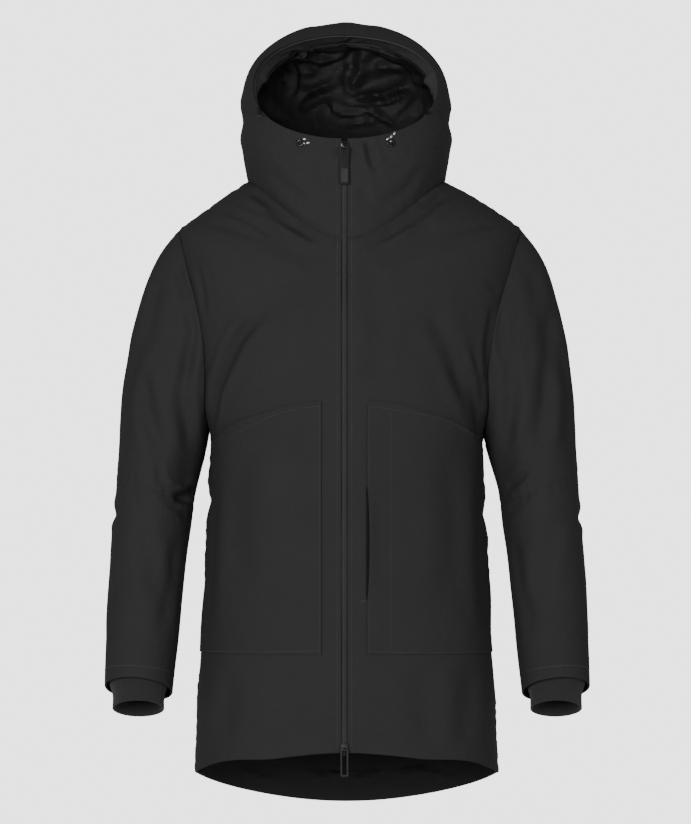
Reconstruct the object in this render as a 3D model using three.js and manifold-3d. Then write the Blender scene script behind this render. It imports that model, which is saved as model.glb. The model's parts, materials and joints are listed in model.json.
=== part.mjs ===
// A men's hooded parka, filled out as if worn, with every cloth piece as its own thin wall.
// Millimetres, +Z up, front towards -Y, +X to the right of someone who looks at the front.
// The origin is at the middle of the neck, where the wearer's neck and shoulders carry the coat.
import * as THREE from 'three';
import Module from 'manifold-3d';
import { mergeVertices } from 'three/addons/utils/BufferGeometryUtils.js';

const wasm = await Module();
wasm.setup();

// Cloth and seams
const SHELL = 3.0;            // insulated shell cloth
const LINING = 3.0;           // padded lining
const FACING = 2.0;           // single shell cloth turned inside
const POCKET = 1.6;           // patch pocket cloth
const KNIT = 2.4;             // ribbed cuff
const SEAM_INSET = 0.17;      // each edge draws back from its seam
const PLY_GAP = 0.35;         // between two plies that lie on each other
const WADDING = 2.3;          // between the hood's shell and what lines it
const MITRE_LIMIT = 1.35;

// Zip
const ZIP_X = -2.8;           // the zip runs a little to the left of the middle
const ZIP_EDGE = 4.0;         // half the distance between the two front edges
const CHAIN_HALF = 3.6;
const CHAIN_SINK = 0.6;
const CHAIN_THICK = 2.2;
const CHAIN_BELOW_HEM = 13;
const CHAIN_STEPS_COLLAR = 6;
const CHAIN_TOP_T = 0.97;     // it ends just under the top of the collar

// Facets
const FRONT_COLUMNS = 8;      // from the zip to the side seam
const POCKET_COLUMN = 2;      // the one that runs along the inner edge of the pocket
const BACK_COLUMNS = 8;       // from the side seam to the middle of the back
const SLEEVE_SIDES = 20;
const ARM_ROWS = SLEEVE_SIDES / 2;
const HEM_ROWS = 5;           // from the hem to the foot of the pocket
const SKIRT_ROWS = 9;         // from there to the armhole
const SHOULDER_ROWS = 4;

// Levels of the body, by height at the side seam
const HEM = -822;
const NECK = 4;
const ARMHOLE_MIDDLE = -205;
const ARMHOLE_HALF = 145;
const ARMHOLE_FRONT_REACH = 28;   // degrees cut out of the front
const ARMHOLE_BACK_REACH = 26;

// One row for each level of the body. h is the level at the side, wide half the width, front and
// back the depths from the middle, lean the sideways lean, full how square the ring is, and rise,
// backRise and sweep how far the ring climbs or drops at its front and back middle.
const BODY = [
  { h: -822, wide: 213, front: 148, back: 146, lean: 0, full: 2.3, rise: 49, backRise: -54, sweep: 1.6 },
  { h: -770, wide: 211, front: 149, back: 145, lean: 0, full: 2.3, rise: 33, backRise: -38, sweep: 1.7 },
  { h: -707, wide: 209, front: 150, back: 142, lean: 0, full: 2.3, rise: 14, backRise: -17, sweep: 2.0 },
  { h: -643, wide: 204, front: 150, back: 139, lean: 0, full: 2.3, rise: 2, backRise: -3, sweep: 2.0 },
  { h: -575, wide: 200, front: 151, back: 136, lean: 0, full: 2.3, rise: 0, backRise: 0, sweep: 2.0 },
  { h: -508, wide: 196, front: 152, back: 134, lean: 0, full: 2.3, rise: 0, backRise: 0, sweep: 2.0 },
  { h: -441, wide: 192, front: 153, back: 134, lean: 0, full: 2.3, rise: 0, backRise: 0, sweep: 2.1 },
  { h: -374, wide: 189, front: 154, back: 136, lean: 0, full: 2.3, rise: 0, backRise: 0, sweep: 2.2 },
  { h: -350, wide: 191, front: 154, back: 137, lean: 0, full: 2.3, rise: 0, backRise: 0, sweep: 2.2 },
  { h: -322, wide: 202, front: 153, back: 138, lean: 0, full: 2.3, rise: 0, backRise: 0, sweep: 2.2 },
  { h: -273, wide: 213, front: 152, back: 139, lean: 0, full: 2.2, rise: -3, backRise: 0, sweep: 2.3 },
  { h: -210, wide: 223, front: 148, back: 139, lean: 1, full: 2.2, rise: -16, backRise: 0, sweep: 2.3 },
  { h: -161, wide: 231, front: 143, back: 136, lean: 2, full: 2.2, rise: -32, backRise: 0, sweep: 2.4 },
  { h: -119, wide: 238, front: 138, back: 130, lean: 3, full: 2.2, rise: -49, backRise: 2, sweep: 2.4 },
  { h: -80, wide: 241, front: 133, back: 123, lean: 4, full: 2.1, rise: -63, backRise: 4, sweep: 2.5 },
  { h: -60, wide: 238, front: 130, back: 118, lean: 5, full: 2.1, rise: -68, backRise: 6, sweep: 2.6 },
  { h: -38, wide: 206, front: 126, back: 109, lean: 5, full: 2.0, rise: -72, backRise: 9, sweep: 2.7 },
  { h: -15, wide: 172, front: 121, back: 97, lean: 2, full: 2.0, rise: -77, backRise: 12, sweep: 2.8 },
  { h: 4, wide: 138, front: 118, back: 88, lean: 0, full: 2.0, rise: -83, backRise: 16, sweep: 2.8 },
];

// One row for each level of the lower sleeve, at its middle line. lean tips the ring forward, and
// slant lifts its outer side, as the elbow seam does.
const SLEEVE = [
  { z: -702, x: 289, y: -60, wide: 48, deep: 50, lean: 23, slant: 4 },
  { z: -643, x: 286, y: -36, wide: 51, deep: 55, lean: 19, slant: 2 },
  { z: -575, x: 281.5, y: -17, wide: 53, deep: 61, lean: 14, slant: 0 },
  { z: -508, x: 277, y: -1, wide: 54, deep: 67, lean: 8, slant: 7 },
  { z: -465, x: 271.5, y: 5, wide: 55, deep: 71, lean: 3, slant: 15 },
  { z: -425, x: 268.5, y: 8, wide: 55, deep: 74, lean: 0, slant: 22 },
];
const ELBOW = -425;
const WRIST = -702;
const SLEEVE_SHIFT = 1;        // both sleeves hang a touch to the right
const CAP_ROWS = 8;
const FOREARM_ROWS = 8;
// How far the sleeve cap leaves the armhole before it turns down, over the shoulder and under the arm
const CAP_OUT = { over: 205, under: 5 };
const CAP_DOWN = { over: 158, under: 60 };
const ELBOW_PULL = { over: 300, under: 70 };
const ELBOW_STEP = 8;

// Knit cuff rings. along is measured from the end of the sleeve, down its middle line.
const CUFF = [
  { along: -6, wide: 41.5, deep: 42 },
  { along: 4, wide: 37.0, deep: 37 },
  { along: 15, wide: 36.0, deep: 35.5 },
  { along: 28, wide: 36.5, deep: 36 },
];
const CUFF_SEAT = -684;       // level of the sleeve wall that the cuff is sewn to

// Hood opening, an oval that leans back from the chin to the brim
const OPENING = { x: -1.5, y: -10, z: 139, halfWide: 131, back: 110, rise: 81, full: 2.2 };
// Handles of the curves that run from the neck seam to the opening edge, by the angle round from
// the chin. out is away from the middle and up is upwards, first at the neck and then at the edge.
const HOOD = [
  { angle: 0, neckOut: 6, neckUp: 44, edgeOut: 6, edgeUp: -43 },
  { angle: 45, neckOut: 10, neckUp: 42, edgeOut: 14, edgeUp: -42 },
  { angle: 90, neckOut: 11, neckUp: 42, edgeOut: 23, edgeUp: -38 },
  { angle: 112, neckOut: 26, neckUp: 46, edgeOut: 37, edgeUp: -8 },
  { angle: 135, neckOut: 72, neckUp: 50, edgeOut: 71, edgeUp: 28 },
  { angle: 158, neckOut: 112, neckUp: 44, edgeOut: 100, edgeUp: 80 },
  { angle: 180, neckOut: 132, neckUp: 40, edgeOut: 112, edgeUp: 104 },
];
const COLLAR_ROWS = 5;
const HOOD_ROWS = 12;
const HOOD_START = 5;          // column where the side seam of the hood meets the opening edge
const HOOD_CORNER = 0.25;      // how far along the next column the hood piece begins
const HOOD_LAST_NORMAL = 0.985; // the normal at the opening edge is taken a little inside it
const HOOD_MIDDLE = [0, 25, 90];
const HOOD_SEAM = { side: 99, back: 105 };
const FACING_DEPTH = 34;
const FACING_ROWS = 2;
const LINING_ROWS = 8;
const LINING_FOOT = 0.05;

// Rows of the back that its hem facing and its lining reach up to
const BACK_FACING_ROW = 1;
const BACK_LINING_ROW = 5;

// Patch pockets
const POCKET_BOTTOM = -652;
const POCKET_TOP = [
  { x: 30, z: -303 },
  { x: 66, z: -306 },
  { x: 122, z: -322 },
  { x: 160, z: -336 },
  { x: 190, z: -362 },
];
const POCKET_INNER = { left: -34, right: 28 };
const POCKET_SHEET_TOP = -280;
const POCKET_MARGIN = 10;
const POCKET_REACH = 260;
const POCKET_STEP = 20;

// Largest folds, as soft troughs seen from the front or the back
const BODY_FOLDS = [
  { face: 'front', deep: 8, half: 24, line: [[-104, -158], [-152, -212], [-178, -270]] },
  { face: 'front', deep: 5, half: 22, line: [[142, -190], [168, -240], [180, -275]] },
  { face: 'front', deep: 4, half: 24, line: [[96, -190], [128, -262]] },
  { face: 'back', deep: 6, half: 28, line: [[-112, -170], [-150, -300], [-150, -430]] },
  { face: 'back', deep: 5, half: 28, line: [[120, -190], [152, -310], [146, -450]] },
  { face: 'back', deep: 4, half: 30, line: [[-60, -470], [10, -500], [90, -480]] },
];
const SLEEVE_FOLDS = {
  left: [
    { face: 'front', deep: 6, half: 20, line: [[-289, -255], [-275, -330], [-262, -395]] },
    { face: 'front', deep: 5, half: 18, line: [[-232, -290], [-224, -350], [-222, -440]] },
    { face: 'back', deep: 6, half: 22, line: [[-300, -300], [-262, -360], [-228, -410]] },
  ],
  right: [
    { face: 'front', deep: 6, half: 20, line: [[286, -150], [284, -290], [266, -385]] },
    { face: 'front', deep: 5, half: 18, line: [[228, -300], [222, -360], [224, -445]] },
    { face: 'back', deep: 6, half: 22, line: [[304, -290], [268, -350], [230, -415]] },
  ],
};

// Hardware
const SLIDER = { wide: 9.6, tall: 16, thick: 2.7, lift: 0.5, corner: 2.5 };
const BAIL = { inner: 1.85, outer: 3.2, wide: 2.6, standOff: 2.3 };
const PULL_THICK = 2.2;
const PULL_BAR = 1.0;
const EYE_CORNER = 1.2;
const PULL_TOP = { wide: 13.2, drop: 51.5, eyeWide: 4.6, eyeDrop: 4.4, corner: 2.4 };
const PULL_BOTTOM = { wide: 10.4, drop: 36.5, eyeWide: 6.4, eyeDrop: 33, corner: 2.0 };
const SLIDER_TOP_T = 0.9;
const SLIDER_BOTTOM_DROP = 6;
const EYELET = { angle: 27, t: 0.895, outer: 5.6, inner: 2.6, thick: 1.2, round: 0.7, sides: 16 };

const rad = THREE.MathUtils.degToRad;
const SIDES = { left: -1, right: 1 };

// Smooth value of one named column between the rows of a table
function column(rows, key, at, name) {
  const last = rows.length - 1;
  const slope = (i) => {
    const a = rows[Math.max(i - 1, 0)];
    const b = rows[Math.min(i + 1, last)];
    return (b[name] - a[name]) / (b[key] - a[key]);
  };
  if (at <= rows[0][key]) return rows[0][name] + slope(0) * (at - rows[0][key]);
  if (at >= rows[last][key]) return rows[last][name] + slope(last) * (at - rows[last][key]);
  let i = 0;
  while (at > rows[i + 1][key]) i += 1;
  const span = rows[i + 1][key] - rows[i][key];
  const t = (at - rows[i][key]) / span;
  const h = hermite(t);
  const bends = (h[1] * slope(i) + h[3] * slope(i + 1)) * span;
  return h[0] * rows[i][name] + h[2] * rows[i + 1][name] + bends;
}

function hermite(t) {
  const a = t * t;
  const b = a * t;
  return [2 * b - 3 * a + 1, b - 2 * a + t, 3 * a - 2 * b, b - a];
}

function along(points, weights) {
  const sum = new THREE.Vector3();
  points.forEach((point, i) => sum.addScaledVector(point, weights[i]));
  return sum;
}

// Distance from (x, z) to a broken line, fading past its ends
function lineDistance(x, z, line) {
  let best = Infinity;
  for (let i = 0; i + 1 < line.length; i += 1) {
    const [ax, az] = line[i];
    const [bx, bz] = line[i + 1];
    const t = ((x - ax) * (bx - ax) + (z - az) * (bz - az)) / ((bx - ax) ** 2 + (bz - az) ** 2);
    const c = THREE.MathUtils.clamp(t, 0, 1);
    best = Math.min(best, Math.hypot(x - ax - c * (bx - ax), z - az - c * (bz - az)));
  }
  return best;
}

function foldDepth(point, front, folds) {
  let depth = 0;
  for (const fold of folds) {
    const facing = fold.face === 'front' ? front : -front;
    if (facing <= 0) continue;
    const d = lineDistance(point.x, point.z, fold.line) / fold.half;
    depth += fold.deep * Math.exp(-d * d) * Math.min(1, facing * 2);
  }
  return depth;
}

// Point on the unit ring of a given squareness
function ring(angle, full) {
  const s = Math.sin(rad(angle));
  const c = Math.cos(rad(angle));
  const size = (Math.abs(s) ** full + Math.abs(c) ** full) ** (1 / full);
  return { side: s / size, front: c / size };
}

// Outer surface of the body. angle is 0 at the middle of the front and 90 at the right side seam.
function body(angle, h) {
  const get = (name) => column(BODY, 'h', h, name);
  const r = ring(angle, get('full'));
  const depth = r.front > 0 ? get('front') : get('back');
  const rise = r.front > 0 ? get('rise') : get('backRise');
  const climb = rise * Math.abs(Math.cos(rad(angle))) ** get('sweep');
  const point = new THREE.Vector3(get('lean') + get('wide') * r.side, -depth * r.front, h + climb);
  const inward = foldDepth(point, r.front, BODY_FOLDS);
  const away = new THREE.Vector3(r.side * depth, -r.front * get('wide'), 0).normalize();
  return point.addScaledVector(away, -inward);
}

function armholeAt(side, phi) {
  const s = Math.sin(rad(phi));
  const reach = s >= 0 ? ARMHOLE_FRONT_REACH : ARMHOLE_BACK_REACH;
  return { angle: side * (90 - reach * s), h: ARMHOLE_MIDDLE + ARMHOLE_HALF * Math.cos(rad(phi)) };
}

function armhole(side, phi) {
  const at = armholeAt(side, phi);
  return body(at.angle, at.h);
}

// Outer surface of the lower sleeve. phi is 0 on the outer side and 90 at the front.
function forearm(side, phi, z) {
  const get = (name) => column(SLEEVE, 'z', z, name);
  const c = Math.cos(rad(phi));
  const s = Math.sin(rad(phi));
  const lean = rad(get('lean'));
  const point = new THREE.Vector3(
    SLEEVE_SHIFT + side * (get('x') + c * get('wide')),
    get('y') - s * get('deep') * Math.cos(lean),
    z + s * get('deep') * Math.sin(lean) + c * get('slant'),
  );
  return creaseSleeve(point, side, phi);
}

function creaseSleeve(point, side, phi) {
  const folds = side < 0 ? SLEEVE_FOLDS.left : SLEEVE_FOLDS.right;
  const c = Math.cos(rad(phi));
  const s = Math.sin(rad(phi));
  const depth = foldDepth(point, s, folds);
  return point.add(new THREE.Vector3(-side * c, s, 0).multiplyScalar(depth));
}

// Outer surface of the upper sleeve, from the armhole at t = 0 to the elbow seam at t = 1
function upperArm(side, phi, t) {
  const over = (1 + Math.cos(rad(phi))) / 2;
  const blend = (pair) => pair.under + (pair.over - pair.under) * over;
  const start = armhole(side, phi);
  const end = forearm(side, phi, ELBOW);
  const leave = new THREE.Vector3(side * blend(CAP_OUT), 0, -blend(CAP_DOWN));
  const below = forearm(side, phi, ELBOW - ELBOW_STEP);
  const arrive = below.sub(end).multiplyScalar(blend(ELBOW_PULL) / ELBOW_STEP);
  const point = along([start, leave, end, arrive], hermite(t));
  const fade = Math.sin(Math.PI * t) ** 2;
  return point.lerp(creaseSleeve(point.clone(), side, phi), fade);
}

function openingEdge(angle) {
  const r = ring(angle, OPENING.full);
  return new THREE.Vector3(
    OPENING.x + OPENING.halfWide * r.side,
    OPENING.y - OPENING.back * r.front,
    OPENING.z - OPENING.rise * r.front,
  );
}

// Outer surface of the hood, from the neck seam at t = 0 to the opening edge at t = 1
function hood(angle, t) {
  const round = Math.abs(((angle + 540) % 360) - 180);
  const get = (name) => column(HOOD, 'angle', round, name);
  const away = new THREE.Vector3(Math.sin(rad(angle)), -Math.cos(rad(angle)), 0);
  const p0 = body(angle, NECK);
  const p3 = openingEdge(angle);
  const p1 = p0.clone().addScaledVector(away, get('neckOut'));
  const p2 = p3.clone().addScaledVector(away, get('edgeOut'));
  p1.z += get('neckUp');
  p2.z += get('edgeUp');
  const u = 1 - t;
  return along([p0, p1, p2, p3], [u * u * u, 3 * u * u * t, 3 * u * t * t, t * t * t]);
}

// Unit normal of a surface, turned to agree with a rough outward direction
function normalOf(surface, a, b, stepA, stepB, away) {
  const da = surface(a + stepA, b).sub(surface(a - stepA, b));
  const db = surface(a, b + stepB).sub(surface(a, b - stepB));
  const n = da.cross(db).normalize();
  return n.dot(away) < 0 ? n.negate() : n;
}

function bodyNormal(angle, h) {
  const away = new THREE.Vector3(Math.sin(rad(angle)), -Math.cos(rad(angle)), 0.3);
  return normalOf(body, angle, h, 0.5, 1, away);
}

function forearmNormal(side, phi, z) {
  const away = new THREE.Vector3(side * Math.cos(rad(phi)), -Math.sin(rad(phi)), 0);
  return normalOf((a, b) => forearm(side, a, b), phi, z, 1, 1, away);
}

function upperArmNormal(side, phi, t) {
  const c = Math.cos(rad(phi));
  const away = new THREE.Vector3(side * c, -Math.sin(rad(phi)), 0.4 * c);
  return normalOf((a, b) => upperArm(side, a, b), phi, t, 1, 0.01, away);
}

function hoodNormal(angle, t) {
  const away = hood(angle, t).sub(new THREE.Vector3(...HOOD_MIDDLE));
  return normalOf(hood, angle, t, 0.5, 0.01, away);
}

// Direction of the wall where two pieces meet at an angle, long enough to keep the thickness
function mitre(n1, n2) {
  const m = n1.clone().add(n2).normalize();
  return m.multiplyScalar(Math.min(MITRE_LIMIT, 1 / Math.max(m.dot(n1), 0.5)));
}

function armholeMitre(side, phi) {
  const at = armholeAt(side, phi);
  return mitre(bodyNormal(at.angle, at.h), upperArmNormal(side, phi, 0.02));
}

function neckMitre(angle) {
  return mitre(bodyNormal(angle, NECK), hoodNormal(angle, 0.02));
}

// Closed wall from a grid of { point, normal }. Open edges draw back by inset; a ring is closed
// over its first index.
function wall(grid, { out = 0, thick, closed = false, inset = SEAM_INSET }) {
  const rows = grid.length;
  const columns = grid[0].length;
  const push = (cell, by) => cell.point.clone().addScaledVector(cell.normal, by);
  const outer = grid.map((row) => row.map((cell) => push(cell, out)));
  const inner = grid.map((row) => row.map((cell) => push(cell, out - thick)));
  drawBack(outer, inner, closed, inset);
  const position = [];
  const triangle = (a, b, c) => position.push(...a.toArray(), ...b.toArray(), ...c.toArray());
  const quad = (a, b, c, d) => {
    triangle(a, b, c);
    triangle(a, c, d);
  };
  const spans = closed ? rows : rows - 1;
  for (let i = 0; i < spans; i += 1) {
    const n = (i + 1) % rows;
    for (let j = 0; j + 1 < columns; j += 1) {
      quad(outer[i][j], outer[n][j], outer[n][j + 1], outer[i][j + 1]);
      quad(inner[i][j], inner[i][j + 1], inner[n][j + 1], inner[n][j]);
    }
    const k = columns - 1;
    quad(outer[i][0], inner[i][0], inner[n][0], outer[n][0]);
    quad(outer[i][k], outer[n][k], inner[n][k], inner[i][k]);
  }
  for (let j = 0; !closed && j + 1 < columns; j += 1) {
    const k = rows - 1;
    quad(outer[0][j], outer[0][j + 1], inner[0][j + 1], inner[0][j]);
    quad(outer[k][j], inner[k][j], inner[k][j + 1], outer[k][j + 1]);
  }
  return facingOut(position);
}

// Moves the edge points of a wall towards their neighbours inside it
function drawBack(outer, inner, closed, inset) {
  const rows = outer.length;
  const columns = outer[0].length;
  const shifts = [];
  const plan = (i, j, ni, nj) => {
    const shift = outer[ni][nj].clone().sub(outer[i][j]).setLength(inset);
    shifts.push([i, j, shift]);
  };
  for (let i = 0; i < rows; i += 1) {
    plan(i, 0, i, 1);
    plan(i, columns - 1, i, columns - 2);
  }
  for (let j = 0; !closed && j < columns; j += 1) {
    plan(0, j, 1, j);
    plan(rows - 1, j, rows - 2, j);
  }
  for (const [i, j, shift] of shifts) {
    outer[i][j].add(shift);
    inner[i][j].add(shift);
  }
}

// Geometry from loose triangles, with its faces turned outwards
function facingOut(position) {
  let volume = 0;
  for (let i = 0; i < position.length; i += 9) {
    const [ax, ay, az, bx, by, bz, cx, cy, cz] = position.slice(i, i + 9);
    volume += ax * (by * cz - bz * cy) - ay * (bx * cz - bz * cx) + az * (bx * cy - by * cx);
  }
  if (volume < 0) {
    for (let i = 0; i < position.length; i += 9) {
      const b = position.slice(i + 3, i + 6);
      const c = position.slice(i + 6, i + 9);
      position.splice(i + 3, 6, ...c, ...b);
    }
  }
  const geometry = new THREE.BufferGeometry();
  geometry.setAttribute('position', new THREE.Float32BufferAttribute(position, 3));
  geometry.computeVertexNormals();
  return geometry;
}

const range = (count) => Array.from({ length: count + 1 }, (_, i) => i / count);
const mix = THREE.MathUtils.lerp;
const neckColumns = Array.from({ length: FRONT_COLUMNS + BACK_COLUMNS + 1 }, (_, i) => i);

// Levels from hem to neck, closest where the armhole turns
function bodyLevels() {
  const low = ARMHOLE_MIDDLE - ARMHOLE_HALF;
  const high = ARMHOLE_MIDDLE + ARMHOLE_HALF;
  const foot = range(HEM_ROWS).slice(0, -1).map((t) => ({ h: mix(HEM, POCKET_BOTTOM, t) }));
  const skirt = range(SKIRT_ROWS).slice(0, -1).map((t) => ({ h: mix(POCKET_BOTTOM, low, t) }));
  const arm = range(ARM_ROWS).map((t) => ({ phi: 180 * (1 - t) }));
  const shoulder = range(SHOULDER_ROWS).slice(1).map((t) => ({ h: mix(high, NECK, t) }));
  arm.forEach((level) => {
    level.h = ARMHOLE_MIDDLE + ARMHOLE_HALF * Math.cos(rad(level.phi));
  });
  return [...foot, ...skirt, ...arm, ...shoulder];
}

// Angle at which a surface passes a given x close to the middle of the front
function angleAt(surface, x) {
  let low = -25;
  let high = 25;
  for (let i = 0; i < 40; i += 1) {
    const middle = (low + high) / 2;
    if (surface(middle).x < x) low = middle;
    else high = middle;
  }
  return (low + high) / 2;
}

// Angles of the front panel's columns, between the zip edge and its outer end
function frontAngle(index, start, end, pocketEdge) {
  if (index <= POCKET_COLUMN) return mix(start, pocketEdge, index / POCKET_COLUMN);
  return mix(pocketEdge, end, (index - POCKET_COLUMN) / (FRONT_COLUMNS - POCKET_COLUMN));
}

function pocketSide(side) {
  return side < 0 ? POCKET_INNER.left : POCKET_INNER.right;
}

function bodyFrontAngle(side, index, h, end) {
  const surface = (a) => body(a, h);
  const start = angleAt(surface, ZIP_X + side * ZIP_EDGE);
  return frontAngle(index, start, end, angleAt(surface, pocketSide(side)));
}

function bodyCell(angle, level) {
  const normal = level.h === NECK ? neckMitre(angle) : bodyNormal(angle, level.h);
  return { point: body(angle, level.h), normal };
}

function panelEnd(side, level) {
  return level.phi === undefined ? side * 90 : armholeAt(side, level.phi).angle;
}

function frontPanel(side) {
  return bodyLevels().map((level) => {
    const end = panelEnd(side, level);
    const cells = neckColumns.slice(0, FRONT_COLUMNS + 1).map((index) => (
      bodyCell(bodyFrontAngle(side, index, level.h, end), level)
    ));
    if (level.phi !== undefined) cells[FRONT_COLUMNS].normal = armholeMitre(side, level.phi);
    return cells;
  });
}

function backPanel() {
  return bodyLevels().map((level) => {
    const half = level.phi === undefined ? 90 : armholeAt(1, -level.phi).angle;
    const cells = range(2 * BACK_COLUMNS).map((u) => bodyCell(mix(half, 360 - half, u), level));
    if (level.phi !== undefined) {
      cells[0].normal = armholeMitre(1, -level.phi);
      cells[2 * BACK_COLUMNS].normal = armholeMitre(-1, -level.phi);
    }
    return cells;
  });
}

const pocketTop = (x) => column(POCKET_TOP, 'x', x, 'z');

// The patch is a second ply on the front panel's own facets, cut along its sloping top edge
function pocketPatch(panel, side) {
  const levels = bodyLevels();
  const rows = panel.filter((row, k) => levels[k].h >= POCKET_BOTTOM && levels[k].h <= POCKET_SHEET_TOP);
  const ply = wall(rows.map((row) => row.slice(POCKET_COLUMN)), { out: PLY_GAP + POCKET, thick: POCKET });
  const outline = new THREE.Shape();
  outline.moveTo(0, POCKET_BOTTOM - POCKET_MARGIN);
  outline.lineTo(0, pocketTop(0));
  for (let x = POCKET_TOP[0].x; x <= POCKET_REACH; x += POCKET_STEP) {
    outline.lineTo(side * x, pocketTop(x));
  }
  outline.lineTo(side * POCKET_REACH, POCKET_BOTTOM - POCKET_MARGIN);
  const cutter = new THREE.ExtrudeGeometry(outline, { depth: POCKET_REACH, bevelEnabled: false });
  cutter.rotateX(Math.PI / 2);
  return geometryOf(solid(ply).intersect(solid(cutter)));
}

const sleeveAngles = range(SLEEVE_SIDES).slice(0, -1).map((u) => 360 * u);

function upperSleeve(side) {
  return sleeveAngles.map((phi) => range(CAP_ROWS).map((t) => {
    if (t === 0) return { point: armhole(side, phi), normal: armholeMitre(side, phi) };
    if (t === 1) return forearmCell(side, phi, ELBOW);
    return { point: upperArm(side, phi, t), normal: upperArmNormal(side, phi, t) };
  }));
}

function forearmCell(side, phi, z) {
  return { point: forearm(side, phi, z), normal: forearmNormal(side, phi, z) };
}

function lowerSleeve(side) {
  const levels = range(FOREARM_ROWS).map((t) => mix(ELBOW, WRIST, t));
  return sleeveAngles.map((phi) => levels.map((z) => forearmCell(side, phi, z)));
}

function cuffRing(side, phi, row) {
  const lean = rad(column(SLEEVE, 'z', WRIST, 'lean'));
  const c = Math.cos(rad(phi));
  const s = Math.sin(rad(phi));
  return new THREE.Vector3(
    SLEEVE_SHIFT + side * (column(SLEEVE, 'z', WRIST, 'x') + c * row.wide),
    column(SLEEVE, 'z', WRIST, 'y') - s * row.deep * Math.cos(lean) - row.along * Math.sin(lean),
    WRIST + s * row.deep * Math.sin(lean) - row.along * Math.cos(lean),
  );
}

function cuffTube(side) {
  return sleeveAngles.map((phi) => {
    const seat = forearmCell(side, phi, CUFF_SEAT);
    const first = seat.point.clone().addScaledVector(seat.normal, -SHELL - PLY_GAP);
    const points = [first, ...CUFF.map((row) => cuffRing(side, phi, row))];
    return points.map((point) => ({ point, normal: seat.normal }));
  });
}

function hoodCell(angle, t) {
  const normal = t === 0 ? neckMitre(angle) : hoodNormal(angle, Math.min(t, HOOD_LAST_NORMAL));
  return { point: hood(angle, t), normal };
}

// Angles round the neck, from the zip edge to the middle of the back, as the body's columns give them
function neckAngle(side, index, t) {
  if (index > FRONT_COLUMNS) return side * mix(90, 180, (index - FRONT_COLUMNS) / BACK_COLUMNS);
  const start = angleAt((a) => hood(a, t), ZIP_X + side * ZIP_EDGE);
  return frontAngle(index, start, side * 90, angleAt((a) => body(a, NECK), pocketSide(side)));
}

// Where the seam between collar and hood crosses a meridian
function seamAt(angle) {
  const round = THREE.MathUtils.clamp((Math.abs(angle) - 90) / 90, 0, 1);
  const goal = mix(HOOD_SEAM.side, HOOD_SEAM.back, round);
  for (let t = 0.1; t < 1; t += 0.005) {
    if (hood(angle, t).z > goal) return t;
  }
  return 1;
}

function collarTop(side, index) {
  return index <= HOOD_START ? 1 : seamAt(neckAngle(side, index, 0));
}

function collarPiece(side) {
  return neckColumns.map((index) => {
    const top = collarTop(side, index);
    return range(COLLAR_ROWS).map((v) => hoodCell(neckAngle(side, index, v * top), v * top));
  });
}

// The corner of the hood piece lies on the straight between two columns of the collar's top edge
function hoodCorner(side) {
  const [a, b] = [HOOD_START, HOOD_START + 1].map((index) => (
    hoodCell(neckAngle(side, index, collarTop(side, index)), collarTop(side, index))
  ));
  const between = (p, q, t) => ({
    point: p.point.clone().lerp(q.point, t),
    normal: p.normal.clone().lerp(q.normal, t).normalize(),
  });
  const low = between(a, b, HOOD_CORNER);
  const angle = mix(neckAngle(side, HOOD_START, 1), neckAngle(side, HOOD_START + 1, 1), HOOD_CORNER);
  const high = hoodCell(angle, 1);
  return range(HOOD_ROWS).map((v) => between(low, high, v));
}

function hoodPiece(side) {
  const columns = neckColumns.slice(HOOD_START + 1).map((index) => {
    const low = collarTop(side, index);
    return range(HOOD_ROWS).map((v) => hoodCell(neckAngle(side, index, 1), mix(low, 1, v)));
  });
  return [hoodCorner(side), ...columns];
}

function meridianLength(angle) {
  const points = range(24).map((t) => hood(angle, t));
  return points.slice(1).reduce((sum, point, i) => sum + point.distanceTo(points[i]), 0);
}

const facingEdge = (angle) => 1 - FACING_DEPTH / meridianLength(angle);

// Columns all the way round the opening, from one zip edge to the other
function roundTheOpening(cellsAt) {
  const right = neckColumns.map((index) => [1, index]);
  const left = neckColumns.slice(0, -1).reverse().map((index) => [-1, index]);
  return [...right, ...left].map(([side, index]) => cellsAt(side, index));
}

// Shell cloth turned inside the opening. It lies on the hood at the edge and on the wadding behind.
function hoodFacing() {
  return roundTheOpening((side, index) => {
    const low = facingEdge(neckAngle(side, index, 1));
    const levels = range(FACING_ROWS).map((v) => mix(low, 1, v));
    return levels.map((t) => {
      const cell = hoodCell(neckAngle(side, index, t), t);
      if (t === 1) cell.point.addScaledVector(cell.normal, WADDING - PLY_GAP);
      return cell;
    });
  });
}

function hoodLining() {
  return roundTheOpening((side, index) => {
    const high = facingEdge(neckAngle(side, index, 1));
    return range(LINING_ROWS).map((v) => {
      const t = mix(LINING_FOOT, high, v);
      return hoodCell(neckAngle(side, index, t), t);
    });
  });
}

// Layer inside the back, between two of its levels
function backLayer(panel, low, high) {
  return panel.slice(low, high + 1).map((row) => row.slice(1, -1));
}

// Zip chain, from below the hem to just under the top of the collar
function zipLine() {
  const at = (surface, normal) => {
    const angle = angleAt(surface, ZIP_X);
    return { point: surface(angle), normal: normal(angle) };
  };
  const coat = bodyLevels().map(({ h }) => at((a) => body(a, h), (a) => bodyNormal(a, h)));
  const steps = range(CHAIN_STEPS_COLLAR).slice(1).map((v) => v * CHAIN_TOP_T);
  const collar = steps.map((t) => at((a) => hood(a, t), (a) => hoodNormal(a, t)));
  const tail = { point: coat[0].point.clone(), normal: coat[0].normal };
  tail.point.z -= CHAIN_BELOW_HEM;
  return [tail, ...coat, ...collar];
}

function zipChain() {
  const centre = zipLine();
  return [-CHAIN_HALF, CHAIN_HALF].map((x) => centre.map(({ point, normal }) => ({
    point: new THREE.Vector3(ZIP_X + x, point.y, point.z),
    normal: new THREE.Vector3(0, normal.y, normal.z).normalize(),
  })));
}

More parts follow.
